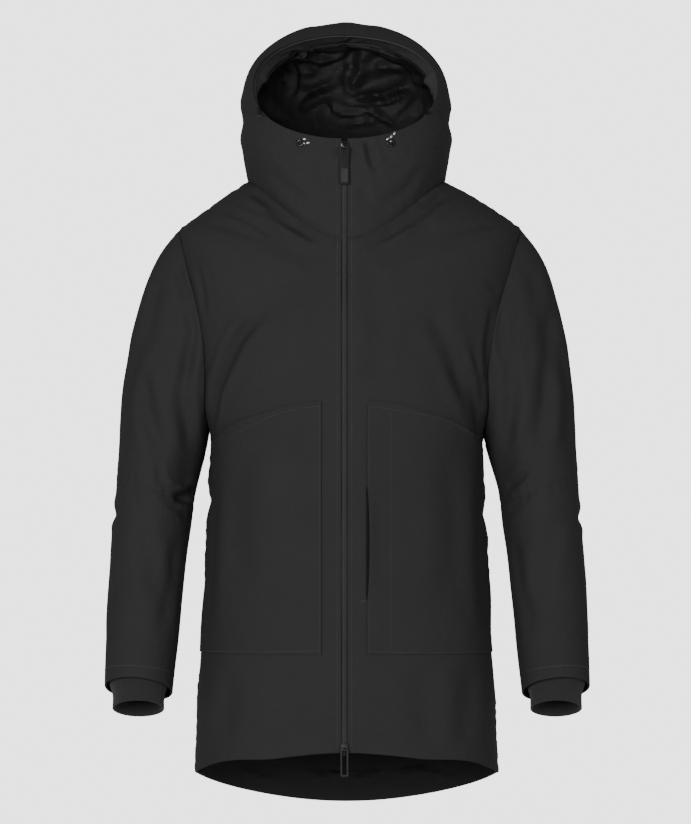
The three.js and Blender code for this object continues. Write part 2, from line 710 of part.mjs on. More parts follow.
// Solid of a closed geometry, for joins
function solid(geometry) {
  const bare = geometry.clone();
  bare.deleteAttribute('normal');
  bare.deleteAttribute('uv');
  const merged = mergeVertices(bare, 1e-4);
  return new wasm.Manifold(new wasm.Mesh({
    numProp: 3,
    vertProperties: new Float32Array(merged.attributes.position.array),
    triVerts: new Uint32Array(merged.index.array),
  }));
}

function geometryOf(manifold) {
  const { vertProperties, triVerts } = manifold.getMesh();
  const geometry = new THREE.BufferGeometry();
  geometry.setAttribute('position', new THREE.BufferAttribute(vertProperties, 3));
  geometry.setIndex(new THREE.BufferAttribute(triVerts, 1));
  geometry.computeVertexNormals();
  return geometry;
}

function roundedOutline(wide, low, high, corner) {
  const w = wide / 2;
  const outline = new THREE.Shape();
  outline.moveTo(-w + corner, low);
  outline.lineTo(w - corner, low);
  outline.absarc(w - corner, low + corner, corner, -Math.PI / 2, 0);
  outline.absarc(w - corner, high - corner, corner, 0, Math.PI / 2);
  outline.absarc(-w + corner, high - corner, corner, Math.PI / 2, Math.PI);
  outline.absarc(-w + corner, low + corner, corner, Math.PI, 1.5 * Math.PI);
  return outline;
}

const plate = (outline, thick) => new THREE.ExtrudeGeometry(outline, {
  depth: thick, bevelEnabled: false, curveSegments: 3,
});

// Slider with the arch that holds its pull. Local axes: x across, y along the zip, z away from it.
function sliderSolid() {
  const half = SLIDER.tall / 2;
  const base = solid(plate(roundedOutline(SLIDER.wide, -half, half, SLIDER.corner), SLIDER.thick));
  const loop = new THREE.Shape();
  loop.absarc(0, 0, BAIL.outer, 0, 2 * Math.PI);
  const hole = new THREE.Path();
  hole.absarc(0, 0, BAIL.inner, 0, 2 * Math.PI, true);
  loop.holes.push(hole);
  const arch = new THREE.ExtrudeGeometry(loop, { depth: BAIL.wide, bevelEnabled: false, curveSegments: 8 });
  arch.translate(0, 0, -BAIL.wide / 2);
  arch.rotateY(Math.PI / 2);
  arch.translate(0, 0, SLIDER.thick + BAIL.standOff);
  return geometryOf(base.add(solid(arch)));
}

// Pull tab with its eye, hanging from the arch. The hinge line is at y = 0, z = 0.
function pullSolid(size) {
  const outline = roundedOutline(size.wide, -size.drop, PULL_BAR, size.corner);
  const eye = roundedOutline(size.eyeWide, -PULL_BAR - size.eyeDrop, -PULL_BAR, EYE_CORNER);
  outline.holes.push(new THREE.Path(eye.getPoints(3).reverse()));
  const tab = plate(outline, PULL_THICK);
  tab.translate(0, 0, -PULL_THICK / 2);
  return tab;
}

// Sets a piece of hardware on the cloth: its local z points along the cloth's normal
function seat(mesh, point, normal, lift) {
  const n = new THREE.Vector3(0, normal.y, normal.z).normalize();
  mesh.rotation.x = Math.atan2(-n.y, n.z);
  mesh.position.set(ZIP_X, point.y, point.z).addScaledVector(n, lift);
}

function eyeletSolid() {
  const { inner, outer, thick, round, sides } = EYELET;
  const points = [
    [inner, 0],
    [outer, 0],
    [outer, thick / 2],
    [outer - round, thick],
    [inner + round, thick],
    [inner, thick / 2],
    [inner, 0],
  ].map(([x, y]) => new THREE.Vector2(x, y));
  const eyelet = new THREE.LatheGeometry(points, sides);
  eyelet.rotateX(Math.PI / 2);
  return eyelet;
}

const cloth = (color, roughness) => new THREE.MeshStandardMaterial({ color, roughness, metalness: 0 });
const MATERIALS = {
  shell: cloth(0x2e2e2e, 0.85),
  lining: cloth(0x161616, 0.45),
  knit: cloth(0x262626, 0.95),
  zip: cloth(0x1d1d1d, 0.6),
  rubber: cloth(0x202020, 0.7),
  metal: new THREE.MeshStandardMaterial({ color: 0x8d8d90, roughness: 0.35, metalness: 0.9 }),
  darkMetal: new THREE.MeshStandardMaterial({ color: 0x1a1a1c, roughness: 0.3, metalness: 0.8 }),
};

const parka = new THREE.Group();

function add(name, geometry, material) {
  const mesh = new THREE.Mesh(geometry, material);
  mesh.name = name;
  parka.add(mesh);
  return mesh;
}

for (const [name, side] of Object.entries(SIDES)) {
  const front = frontPanel(side);
  add(`front_${name}`, wall(front, { thick: SHELL }), MATERIALS.shell);
  add(`pocket_${name}`, pocketPatch(front, side), MATERIALS.shell);
  add(`sleeve_upper_${name}`, wall(upperSleeve(side), { thick: SHELL, closed: true }), MATERIALS.shell);
  add(`sleeve_lower_${name}`, wall(lowerSleeve(side), { thick: SHELL, closed: true }), MATERIALS.shell);
  add(`cuff_${name}`, wall(cuffTube(side), { thick: KNIT, closed: true, inset: 0 }), MATERIALS.knit);
  add(`collar_${name}`, wall(collarPiece(side), { thick: SHELL }), MATERIALS.shell);
  add(`hood_${name}`, wall(hoodPiece(side), { thick: SHELL }), MATERIALS.shell);
}
const back = backPanel();
const underShell = -SHELL - PLY_GAP;
add('back', wall(back, { thick: SHELL }), MATERIALS.shell);
const hemBand = backLayer(back, 0, BACK_FACING_ROW);
add('back_facing', wall(hemBand, { out: underShell, thick: FACING }), MATERIALS.shell);
const backInside = backLayer(back, BACK_FACING_ROW, BACK_LINING_ROW);
add('back_lining', wall(backInside, { out: underShell, thick: LINING }), MATERIALS.lining);
add('hood_facing', wall(hoodFacing(), { out: -SHELL - WADDING, thick: FACING }), MATERIALS.shell);
add('hood_lining', wall(hoodLining(), { out: -SHELL - WADDING, thick: LINING }), MATERIALS.lining);
add('zip_chain', wall(zipChain(), { out: -CHAIN_SINK, thick: CHAIN_THICK, inset: 0 }), MATERIALS.zip);

const hinge = SLIDER.lift + SLIDER.thick + BAIL.standOff;
const top = hoodCell(angleAt((a) => hood(a, SLIDER_TOP_T), ZIP_X), SLIDER_TOP_T);
seat(add('slider_top', sliderSolid(), MATERIALS.darkMetal), top.point, top.normal, SLIDER.lift);
const pullTop = add('pull_top', pullSolid(PULL_TOP), MATERIALS.rubber);
seat(pullTop, top.point, top.normal, hinge);
pullTop.rotation.x = Math.PI / 2;

const hem = bodyCell(angleAt((a) => body(a, HEM), ZIP_X), { h: HEM });
hem.point.z -= SLIDER_BOTTOM_DROP;
seat(add('slider_bottom', sliderSolid(), MATERIALS.metal), hem.point, hem.normal, SLIDER.lift);
const pullBottom = add('pull_bottom', pullSolid(PULL_BOTTOM), MATERIALS.metal);
seat(pullBottom, hem.point, hem.normal, hinge);
pullBottom.rotation.x = Math.PI / 2;

for (const [name, side] of Object.entries(SIDES)) {
  const { point, normal } = hoodCell(side * EYELET.angle, EYELET.t);
  const eyelet = add(`eyelet_${name}`, eyeletSolid(), MATERIALS.metal);
  eyelet.position.copy(point).addScaledVector(normal, SLIDER.lift);
  eyelet.quaternion.setFromUnitVectors(new THREE.Vector3(0, 0, 1), normal);
}

export default parka;
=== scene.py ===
"""Looks of a hooded parka: cloth, lining, seams, zip and trims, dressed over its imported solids."""

import json
import math
import random

import bmesh
import bpy
import numpy as np
from mathutils import Matrix, Vector
from mathutils.bvhtree import BVHTree
from mathutils.kdtree import KDTree

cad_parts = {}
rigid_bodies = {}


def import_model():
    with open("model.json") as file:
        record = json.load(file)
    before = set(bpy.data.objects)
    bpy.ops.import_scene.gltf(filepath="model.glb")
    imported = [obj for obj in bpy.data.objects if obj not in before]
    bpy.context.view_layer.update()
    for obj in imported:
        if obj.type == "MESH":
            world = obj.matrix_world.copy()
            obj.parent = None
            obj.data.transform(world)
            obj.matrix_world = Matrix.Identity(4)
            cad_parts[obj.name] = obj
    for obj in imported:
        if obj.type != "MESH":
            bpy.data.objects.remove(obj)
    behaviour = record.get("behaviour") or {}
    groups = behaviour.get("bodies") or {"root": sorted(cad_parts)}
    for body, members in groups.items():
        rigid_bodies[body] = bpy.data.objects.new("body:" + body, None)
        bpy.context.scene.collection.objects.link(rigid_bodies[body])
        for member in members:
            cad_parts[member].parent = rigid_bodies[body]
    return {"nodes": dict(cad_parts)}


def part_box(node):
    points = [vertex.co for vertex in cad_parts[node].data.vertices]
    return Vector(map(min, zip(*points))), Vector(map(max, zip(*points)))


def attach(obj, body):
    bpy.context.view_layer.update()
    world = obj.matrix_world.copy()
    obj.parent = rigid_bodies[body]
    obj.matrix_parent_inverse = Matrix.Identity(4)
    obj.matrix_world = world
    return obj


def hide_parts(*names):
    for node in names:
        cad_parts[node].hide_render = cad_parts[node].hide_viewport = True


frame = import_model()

for extra in [o for o in bpy.data.objects if o.name in ("Cube", "Light", "Camera")]:
    bpy.data.objects.remove(extra)

MM = 0.001
COAT = "coat"
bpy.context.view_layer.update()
chance = random.Random(14)
waves = np.random.default_rng(14)

# Camera, level and in front of the coat
PIXEL = 1.4 * MM                     # size of a picture point at the middle of the coat
PICTURE = (691, 824)
CAMERA_DISTANCE = 6.0
CAMERA_X = -1.4 * MM
CAMERA_Z = -317.8 * MM
SENSOR_HEIGHT = 24.0


def add_camera():
    data = bpy.data.cameras.new("camera")
    data.sensor_fit = "VERTICAL"
    data.sensor_height = SENSOR_HEIGHT
    data.lens = SENSOR_HEIGHT * CAMERA_DISTANCE / (PICTURE[1] * PIXEL)
    data.clip_end = 100.0
    camera = bpy.data.objects.new("camera", data)
    camera.location = (CAMERA_X, -CAMERA_DISTANCE, CAMERA_Z)
    camera.rotation_euler = (math.pi / 2, 0, 0)
    bpy.context.scene.collection.objects.link(camera)
    bpy.context.scene.camera = camera


add_camera()


class Value:
    """A shader socket. Arithmetic on it adds Math nodes."""

    def __init__(self, maker, socket):
        self.maker = maker
        self.socket = socket

    def math(self, operation, *numbers):
        return self.maker.add("ShaderNodeMath", {"operation": operation}, dict(enumerate(numbers)))

    def __add__(self, other):
        return self.math("ADD", self, other)

    __radd__ = __add__

    def __sub__(self, other):
        return self.math("SUBTRACT", self, other)

    def __rsub__(self, other):
        return self.math("SUBTRACT", other, self)

    def __mul__(self, other):
        return self.math("MULTIPLY", self, other)

    __rmul__ = __mul__

    def __pow__(self, other):
        return self.math("POWER", self, other)

    def sin(self):
        return self.math("SINE", self)


class Finish:
    """One procedural material on a Principled shader."""

    def __init__(self, name, roughness, metallic=0.0, specular=0.5, sheen=0.0):
        self.material = bpy.data.materials.new(name)
        self.material.use_nodes = True
        self.tree = self.material.node_tree
        self.shader = self.tree.nodes["Principled BSDF"]
        self.put("Roughness", roughness)
        self.put("Metallic", metallic)
        self.put("Specular IOR Level", specular)
        self.put("Sheen Weight", sheen)
        self.put("Sheen Roughness", 0.6)

    def add(self, kind, settings=None, sockets=None, output=0):
        node = self.tree.nodes.new(kind)
        for name, setting in (settings or {}).items():
            if name == "stops":
                for stop, (place, grey) in zip(node.color_ramp.elements, setting):
                    stop.position = place
                    stop.color = (grey, grey, grey, 1)
            else:
                setattr(node, name, setting)
        for name, value in (sockets or {}).items():
            if isinstance(value, Value):
                self.tree.links.new(value.socket, node.inputs[name])
            else:
                node.inputs[name].default_value = value
        return Value(self, node.outputs[output])

    def put(self, name, value):
        if isinstance(value, Value):
            self.tree.links.new(value.socket, self.shader.inputs[name])
        else:
            self.shader.inputs[name].default_value = value

    def place(self, kind="Object"):
        return self.add("ShaderNodeTexCoord", output=kind)

    def noise(self, size, detail=3.0, kind="Object"):
        """Cloudy value from 0 to 1, with blotches of a size in metres."""
        sockets = {"Vector": self.place(kind), "Scale": 1 / size, "Detail": detail}
        return self.add("ShaderNodeTexNoise", None, sockets, "Fac")

    def across(self, output, kind="UV"):
        return self.add("ShaderNodeSeparateXYZ", None, {"Vector": self.place(kind)}, output)

    def colours(self, factor, dark, light):
        """A colour that goes from dark to light."""
        sockets = {0: factor, 6: (*dark, 1), 7: (*light, 1)}
        self.put("Base Color", self.add("ShaderNodeMix", {"data_type": "RGBA"}, sockets, 2))

    def bump(self, *layers):
        """Bumps one on another, each a height from 0 to 1 and its depth in metres."""
        normal = None
        for height, depth in layers:
            sockets = {"Height": height, "Distance": depth, "Strength": 1.0}
            if normal is not None:
                sockets["Normal"] = normal
            normal = self.add("ShaderNodeBump", None, sockets)
        self.put("Normal", normal)


WEAVE = 1.1 * MM
WALE = 3.1 * MM


def grey(value, tint=0.0):
    return (value, value, value * (1 + tint))


def woven(name, dark, light, roughness, depth, sheen):
    """Plain-woven cloth: crossing threads, faint slubs and a soft unevenness."""
    cloth = Finish(name, roughness, specular=0.12, sheen=sheen)
    u = cloth.across("X")
    v = cloth.across("Y")
    turn = 2 * math.pi / WEAVE
    threads = (u * turn).sin() * (v * turn).sin() * 0.5 + 0.5
    mottle = cloth.noise(3.2 * MM, 4.0)
    cloud = cloth.noise(60 * MM, 2.0)
    cloth.colours(mottle * 0.6 + cloud * 0.4, dark, light)
    cloth.put("Roughness", roughness - 0.12 * (mottle - 0.5))
    cloth.bump((cloth.noise(26 * MM, 3.0), 1.6 * MM), (mottle, 0.35 * MM), (threads, depth))
    return cloth.material


SHELL = woven("black_shell_cloth", grey(0.0125), grey(0.0175, 0.01), 0.88, 0.12 * MM, 0.0)
# The hood's facing is the shell cloth, coloured lighter than the shell as painted light for the light its downward
# face misses.
PAINTED_LIGHT_FACING = woven("black_facing_cloth_painted_light", grey(0.026), grey(0.036), 0.88, 0.12 * MM, 0.0)

# The back hem's facing is the shell cloth, coloured darker as painted shade for the shadow it lies in behind the
# fronts.
PAINTED_SHADE_HEM_CLOTH = woven("black_hem_cloth_painted_shade", grey(0.0075), grey(0.0115), 0.88, 0.12 * MM, 0.0)


def satin(name, dark, light, specular):
    cloth = Finish(name, 0.6, specular=specular)
    u = cloth.across("X")
    v = cloth.across("Y")
    turn = 2 * math.pi / (0.7 * WEAVE)
    threads = ((u + v) * turn).sin() * 0.5 + 0.5
    cloud = cloth.noise(9 * MM, 3.0)
    cloth.colours(cloud, dark, light)
    cloth.put("Roughness", 0.52 + 0.14 * cloud)
    cloth.bump((cloth.noise(22 * MM, 4.0), 2.6 * MM), (cloud, 0.5 * MM), (threads, 0.05 * MM))
    return cloth.material


def rib_knit():
    cloth = Finish("black_rib_knit", 0.95, specular=0.15, sheen=0.05)
    u = cloth.across("X")
    v = cloth.across("Y")
    wales = (u * (2 * math.pi / WALE)).sin() * 0.5 + 0.5
    rows = (v * (2 * math.pi / (1.3 * MM))).sin() * 0.5 + 0.5
    cloth.colours(wales * 0.7 + rows * 0.3, grey(0.007), grey(0.017))
    cloth.bump((wales, 0.4 * MM), (rows, 0.15 * MM))
    return cloth.material


def sewing_thread():
    thread = Finish("black_sewing_thread", 0.55, specular=0.4)
    twist = thread.noise(0.5 * MM, 2.0)
    thread.colours(twist, grey(0.018), grey(0.034))
    thread.bump((twist, 0.06 * MM))
    return thread.material


def zip_plastic():
    coil = Finish("black_zip_plastic", 0.45, specular=0.5)
    cloud = coil.noise(1.2 * MM, 2.0)
    coil.colours(cloud, grey(0.012), grey(0.026))
    coil.put("Roughness", 0.4 + 0.15 * cloud)
    coil.bump((cloud, 0.05 * MM))
    return coil.material


def zip_tape():
    tape = Finish("black_zip_tape", 0.85, specular=0.25)
    v = tape.across("Z", "Object")
    rows = (v * (2 * math.pi / (0.9 * MM))).sin() * 0.5 + 0.5
    tape.colours(rows, grey(0.011), grey(0.019))
    tape.bump((rows, 0.1 * MM))
    return tape.material


def moulded(name, dark, light, roughness):
    rubber = Finish(name, roughness, specular=0.12)
    cloud = rubber.noise(0.6 * MM, 3.0)
    rubber.colours(cloud, dark, light)
    rubber.bump((cloud, 0.05 * MM))
    return rubber.material


def metal(name, dark, light, roughness):
    plate = Finish(name, roughness, metallic=1.0, specular=0.5)
    cloud = plate.noise(1.6 * MM, 4.0)
    plate.colours(cloud, dark, light)
    plate.put("Roughness", roughness + 0.2 * (cloud - 0.5))
    plate.bump((cloud, 0.03 * MM))
    return plate.material


LINING = satin("black_lining_satin", grey(0.0052), grey(0.0092), 0.13)
# The lining inside the back is the same satin, coloured darker as painted shade for the shadow inside the back behind
# the fronts.
PAINTED_SHADE_TAIL_LINING = satin("black_tail_lining_painted_shade", grey(0.003), grey(0.0055), 0.1)
KNIT = rib_knit()
THREAD = sewing_thread()
COIL = zip_plastic()
TAPE = zip_tape()
RUBBER = moulded("black_moulded_rubber", grey(0.0025), grey(0.005), 0.6)
STEEL = metal("dull_grey_metal", grey(0.01), grey(0.03), 0.48)
BRIGHT = metal("bright_grey_metal", grey(0.16), grey(0.5), 0.36)
PANEL = moulded("black_glossy_panel", grey(0.012), grey(0.022), 0.6)
BLACK_METAL = metal("black_enamelled_metal", grey(0.015), grey(0.04), 0.22)

# Cloth walls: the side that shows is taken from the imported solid, smoothed, folded, then given
# its thickness again.
SHELL_THICK = 3.0 * MM
POCKET_THICK = 1.6 * MM
FACING_THICK = 2.0 * MM
LINING_THICK = 3.0 * MM
KNIT_THICK = 2.4 * MM
PLY_GAP = 0.35 * MM
RIM_WIDTH = 5.0 * MM
RIM_TURN = math.radians(25)
FOLD_TURN = math.radians(75)
JOIN_TURN = math.radians(80)
MERGE = 0.05 * MM
FINENESS = 3


def new_object(name, mesh, material, body=COAT):
    piece = bpy.data.objects.new(name, mesh)
    bpy.context.scene.collection.objects.link(piece)
    piece.data.materials.clear()
    piece.data.materials.append(material)
    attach(piece, body)
    return piece


def finish_mesh(name, bm, smooth=True):
    mesh = bpy.data.meshes.new(name)
    bm.to_mesh(mesh)
    bm.free()
    for polygon in mesh.polygons:
        polygon.use_smooth = smooth
    return mesh


def applied(mesh, *modifiers):
    """The mesh after some modifiers, each given as its type and its settings."""
    carrier = bpy.data.objects.new("carrier", mesh)
    bpy.context.scene.collection.objects.link(carrier)
    for kind, settings in modifiers:
        modifier = carrier.modifiers.new(kind.lower(), kind)
        for name, value in settings.items():
            setattr(modifier, name, value)
    seen = carrier.evaluated_get(bpy.context.evaluated_depsgraph_get())
    made = bpy.data.meshes.new_from_object(seen)
    bpy.data.objects.remove(carrier)
    return made


def components(faces):
    """Groups of faces that are joined by edges which aren't sharp."""
    left = set(faces)
    while left:
        group = [left.pop()]
        for face in group:
            for edge in face.edges:
                if edge.calc_face_angle(0) > FOLD_TURN:
                    continue
                for other in edge.link_faces:
                    if other in left:
                        left.remove(other)
                        group.append(other)
        yield group


def is_rim(face):
    """Whether a face is part of the narrow edge between the two sides of a wall."""
    turned = sum(edge.calc_face_angle(0) > RIM_TURN for edge in face.edges)
    narrow = face.calc_area() / max(edge.calc_length() for edge in face.edges)
    return turned >= 2 and narrow < RIM_WIDTH


def fits_in(face, group):
    """Whether two edges of a face join it to a group."""
    joined = [edge for edge in face.edges if edge.calc_face_angle(0) < JOIN_TURN]
    return sum(any(other in group for other in edge.link_faces) for edge in joined) >= 2


def cloth_side(node, middle, inner=False, merge=MERGE):
    """One side of a node's wall as an open sheet of four-sided faces. middle is the line or the
    point that the wall bends round, as a function of a point."""
    bm = bmesh.new()
    bm.from_mesh(frame["nodes"][node].data)
    bmesh.ops.remove_doubles(bm, verts=bm.verts, dist=merge)
    bm.normal_update()
    bmesh.ops.join_triangles(
        bm, faces=bm.faces, angle_face_threshold=math.radians(60),
        angle_shape_threshold=math.radians(90), topology_influence=1.5,
    )
    bm.normal_update()
    walls = [face for face in bm.faces if not is_rim(face)]
    def facing_out(group):
        return sum(
            face.calc_area() * face.normal.dot((face.calc_center_median() - middle(face)).normalized())
            for face in group
        )
    both = sorted(components(walls), key=len)[-2:]
    both.sort(key=facing_out)
    keep = set(both[0] if inner else both[-1])
    while True:
        missed = [face for face in bm.faces if face not in keep and fits_in(face, keep)]
        if not missed:
            break
        keep.update(missed)
    bmesh.ops.delete(bm, geom=[face for face in bm.faces if face not in keep], context="FACES")
    return finish_mesh(node + "_sheet", bm)


def smoothed(mesh, levels=FINENESS):
    settings = {"levels": levels, "render_levels": levels, "boundary_smooth": "PRESERVE_CORNERS"}
    return applied(mesh, ("SUBSURF", settings))


def numbers(mesh):
    flat = np.zeros(len(mesh.vertices) * 3, np.float32)
    mesh.vertices.foreach_get("co", flat)
    return flat.reshape(-1, 3).astype(float)


def normals(mesh):
    flat = np.zeros(len(mesh.vertices) * 3, np.float32)
    mesh.vertex_normals.foreach_get("vector", flat)
    return flat.reshape(-1, 3).astype(float)


def move_to(mesh, points):
    mesh.vertices.foreach_set("co", points.astype(np.float32).ravel())
    mesh.update()


ELBOWS = {-1: Vector((-268, 8, -425)) * MM, 1: Vector((270, 8, -425)) * MM}
WRISTS = {-1: Vector((-288, -60, -702)) * MM, 1: Vector((290, -60, -702)) * MM}
SHOULDERS = {-1: Vector((-225, 0, -205)) * MM, 1: Vector((230, 0, -205)) * MM}
HOOD_MIDDLE = Vector((0, 25, 90)) * MM


def body_middle(face):
    return Vector((0, 0, face.calc_center_median().z))


def hood_middle(face):
    return HOOD_MIDDLE


def on_line(a, b, point):
    t = (point - a).dot(b - a) / (b - a).length_squared
    return a + (b - a) * min(max(t, 0), 1)


def sleeve_middle(side, upper):
    start, end = (SHOULDERS[side], ELBOWS[side]) if upper else (ELBOWS[side], WRISTS[side])
    return lambda face: on_line(start, end, face.calc_center_median())


SIDES = {"left": -1, "right": 1}
sheets = {}
for name, side in SIDES.items():
    sheets["front_" + name] = smoothed(cloth_side("front_" + name, body_middle))
    sheets["pocket_" + name] = smoothed(cloth_side("pocket_" + name, body_middle))
    sheets["collar_" + name] = smoothed(cloth_side("collar_" + name, hood_middle))
    sheets["hood_" + name] = smoothed(cloth_side("hood_" + name, hood_middle, merge=0.6 * MM))
    sheets["sleeve_upper_" + name] = smoothed(cloth_side("sleeve_upper_" + name, sleeve_middle(side, True)))
    sheets["sleeve_lower_" + name] = smoothed(cloth_side("sleeve_lower_" + name, sleeve_middle(side, False)))
    sheets["cuff_" + name] = smoothed(cloth_side("cuff_" + name, sleeve_middle(side, False)), 4)
sheets["back"] = smoothed(cloth_side("back", body_middle))
sheets["back_facing"] = smoothed(cloth_side("back_facing", body_middle, inner=True))
sheets["back_lining"] = smoothed(cloth_side("back_lining", body_middle, inner=True))
sheets["hood_facing"] = smoothed(cloth_side("hood_facing", hood_middle, inner=True))
sheets["hood_lining"] = smoothed(cloth_side("hood_lining", hood_middle, inner=True))

GROUPS = {
    "body": ["front_left", "front_right", "back", "pocket_left", "pocket_right"],
    "sleeve": ["sleeve_upper_left", "sleeve_upper_right", "sleeve_lower_left", "sleeve_lower_right"],
    "hood": ["collar_left", "collar_right", "hood_left", "hood_right"],
    "inside": ["hood_lining", "hood_facing"],
    "tail": ["back_lining", "back_facing"],
}


def tree_of(names):
    bm = bmesh.new()
    for name in names:
        bm.from_mesh(sheets[name])
    tree = BVHTree.FromBMesh(bm)
    bm.free()
    return tree


def edge_places(mesh):
    """Middle, direction and outward normal of each open edge of a sheet."""
    bm = bmesh.new()
    bm.from_mesh(mesh)
    found = [
        (
            (edge.verts[0].co + edge.verts[1].co) / 2,
            (edge.verts[1].co - edge.verts[0].co).normalized(),
            edge.link_faces[0].normal.copy(),
        )
        for edge in bm.edges
        if edge.is_boundary
    ]
    bm.free()
    return found


def points_tree(points):
    tree = KDTree(len(points))
    for index, point in enumerate(points):
        tree.insert(point, index)
    tree.balance()
    return tree


def distances(tree, places):
    return np.array([tree.find(place)[2] for place in places])


def eased(share):
    share = np.clip(share, 0, 1)
    return share * share * (3 - 2 * share)


# The lining is padded: it hangs from the brim and stands proud of its sewn edges
PUFF = 6.0 * MM
PUFF_RISE = 30 * MM
BRIM_HANG = 24.0 * MM
BRIM_LOW = 60 * MM
BRIM_HIGH = 205 * MM
BRIM_FADE = 55 * MM
SINK_LIMIT = 1.2 * MM
slack = {}


def hang_lining():
    facing_edge = [place[0] for place in edge_places(sheets["hood_facing"])]
    lining_edge = points_tree([place[0] for place in edge_places(sheets["hood_lining"])])
    facing_seam = points_tree([point for point in facing_edge if lining_edge.find(point)[2] < 5 * MM])
    opening_edge = points_tree([point for point in facing_edge if lining_edge.find(point)[2] > 15 * MM])
    for name in GROUPS["inside"]:
        places = numbers(sheets[name])
        hang = BRIM_HANG * eased((places[:, 2] - BRIM_LOW) / (BRIM_HIGH - BRIM_LOW))
        if name == "hood_facing":
            outer = distances(opening_edge, places)
            share = outer / (outer + distances(facing_seam, places))
            slack[name] = hang * eased(share) ** 0.7
        else:
            fade = np.exp(-(distances(facing_seam, places) / BRIM_FADE) ** 2)
            slack[name] = hang * fade + PUFF * eased(distances(lining_edge, places) / PUFF_RISE)
        move_to(sheets[name], places + normals(sheets[name]) * slack[name][:, None])


hang_lining()
trees = {group: tree_of(names) for group, names in GROUPS.items()}
EYE = Vector((CAMERA_X, -CAMERA_DISTANCE, CAMERA_Z))
LOOKS = {
    "back": (Vector((0, -1, 0)), lambda a, b: Vector((a, 0, b)) * MM),
    "left": (Vector((1, 0, 0)), lambda a, b: Vector((0, a, b)) * MM),
    "right": (Vector((-1, 0, 0)), lambda a, b: Vector((0, a, b)) * MM),
    "top": (Vector((0, 0, -1)), lambda a, b: Vector((a, b, 0)) * MM),
}


def ray(look, a, b):
    """Start and direction of the line that passes a place: a picture point for the front, and
    millimetres across and up, or across and away, for the other sides."""
    if look == "front":
        aim = Vector(((a - PICTURE[0] / 2) * PIXEL, CAMERA_DISTANCE, (PICTURE[1] / 2 - b) * PIXEL))
        return EYE, aim.normalized()
    direction, place = LOOKS[look]
    return place(a, b) - direction * 2, direction


def traced(tree, look, line, step):
    """A drawn line laid on a surface, as points about step apart in its own units."""
    found = []
    for (ax, ay), (bx, by) in zip(line, line[1:]):
        count = max(1, round(math.hypot(bx - ax, by - ay) / step))
        for i in range(count):
            t = i / count
            found.append((ax + (bx - ax) * t, ay + (by - ay) * t))
    found.append(line[-1])
    hits = []
    for a, b in found:
        start, direction = ray(look, a, b)
        place, normal, _, _ = tree.ray_cast(start, direction, 20.0)
        if place is not None:
            hits.append((place, normal))
    return hits


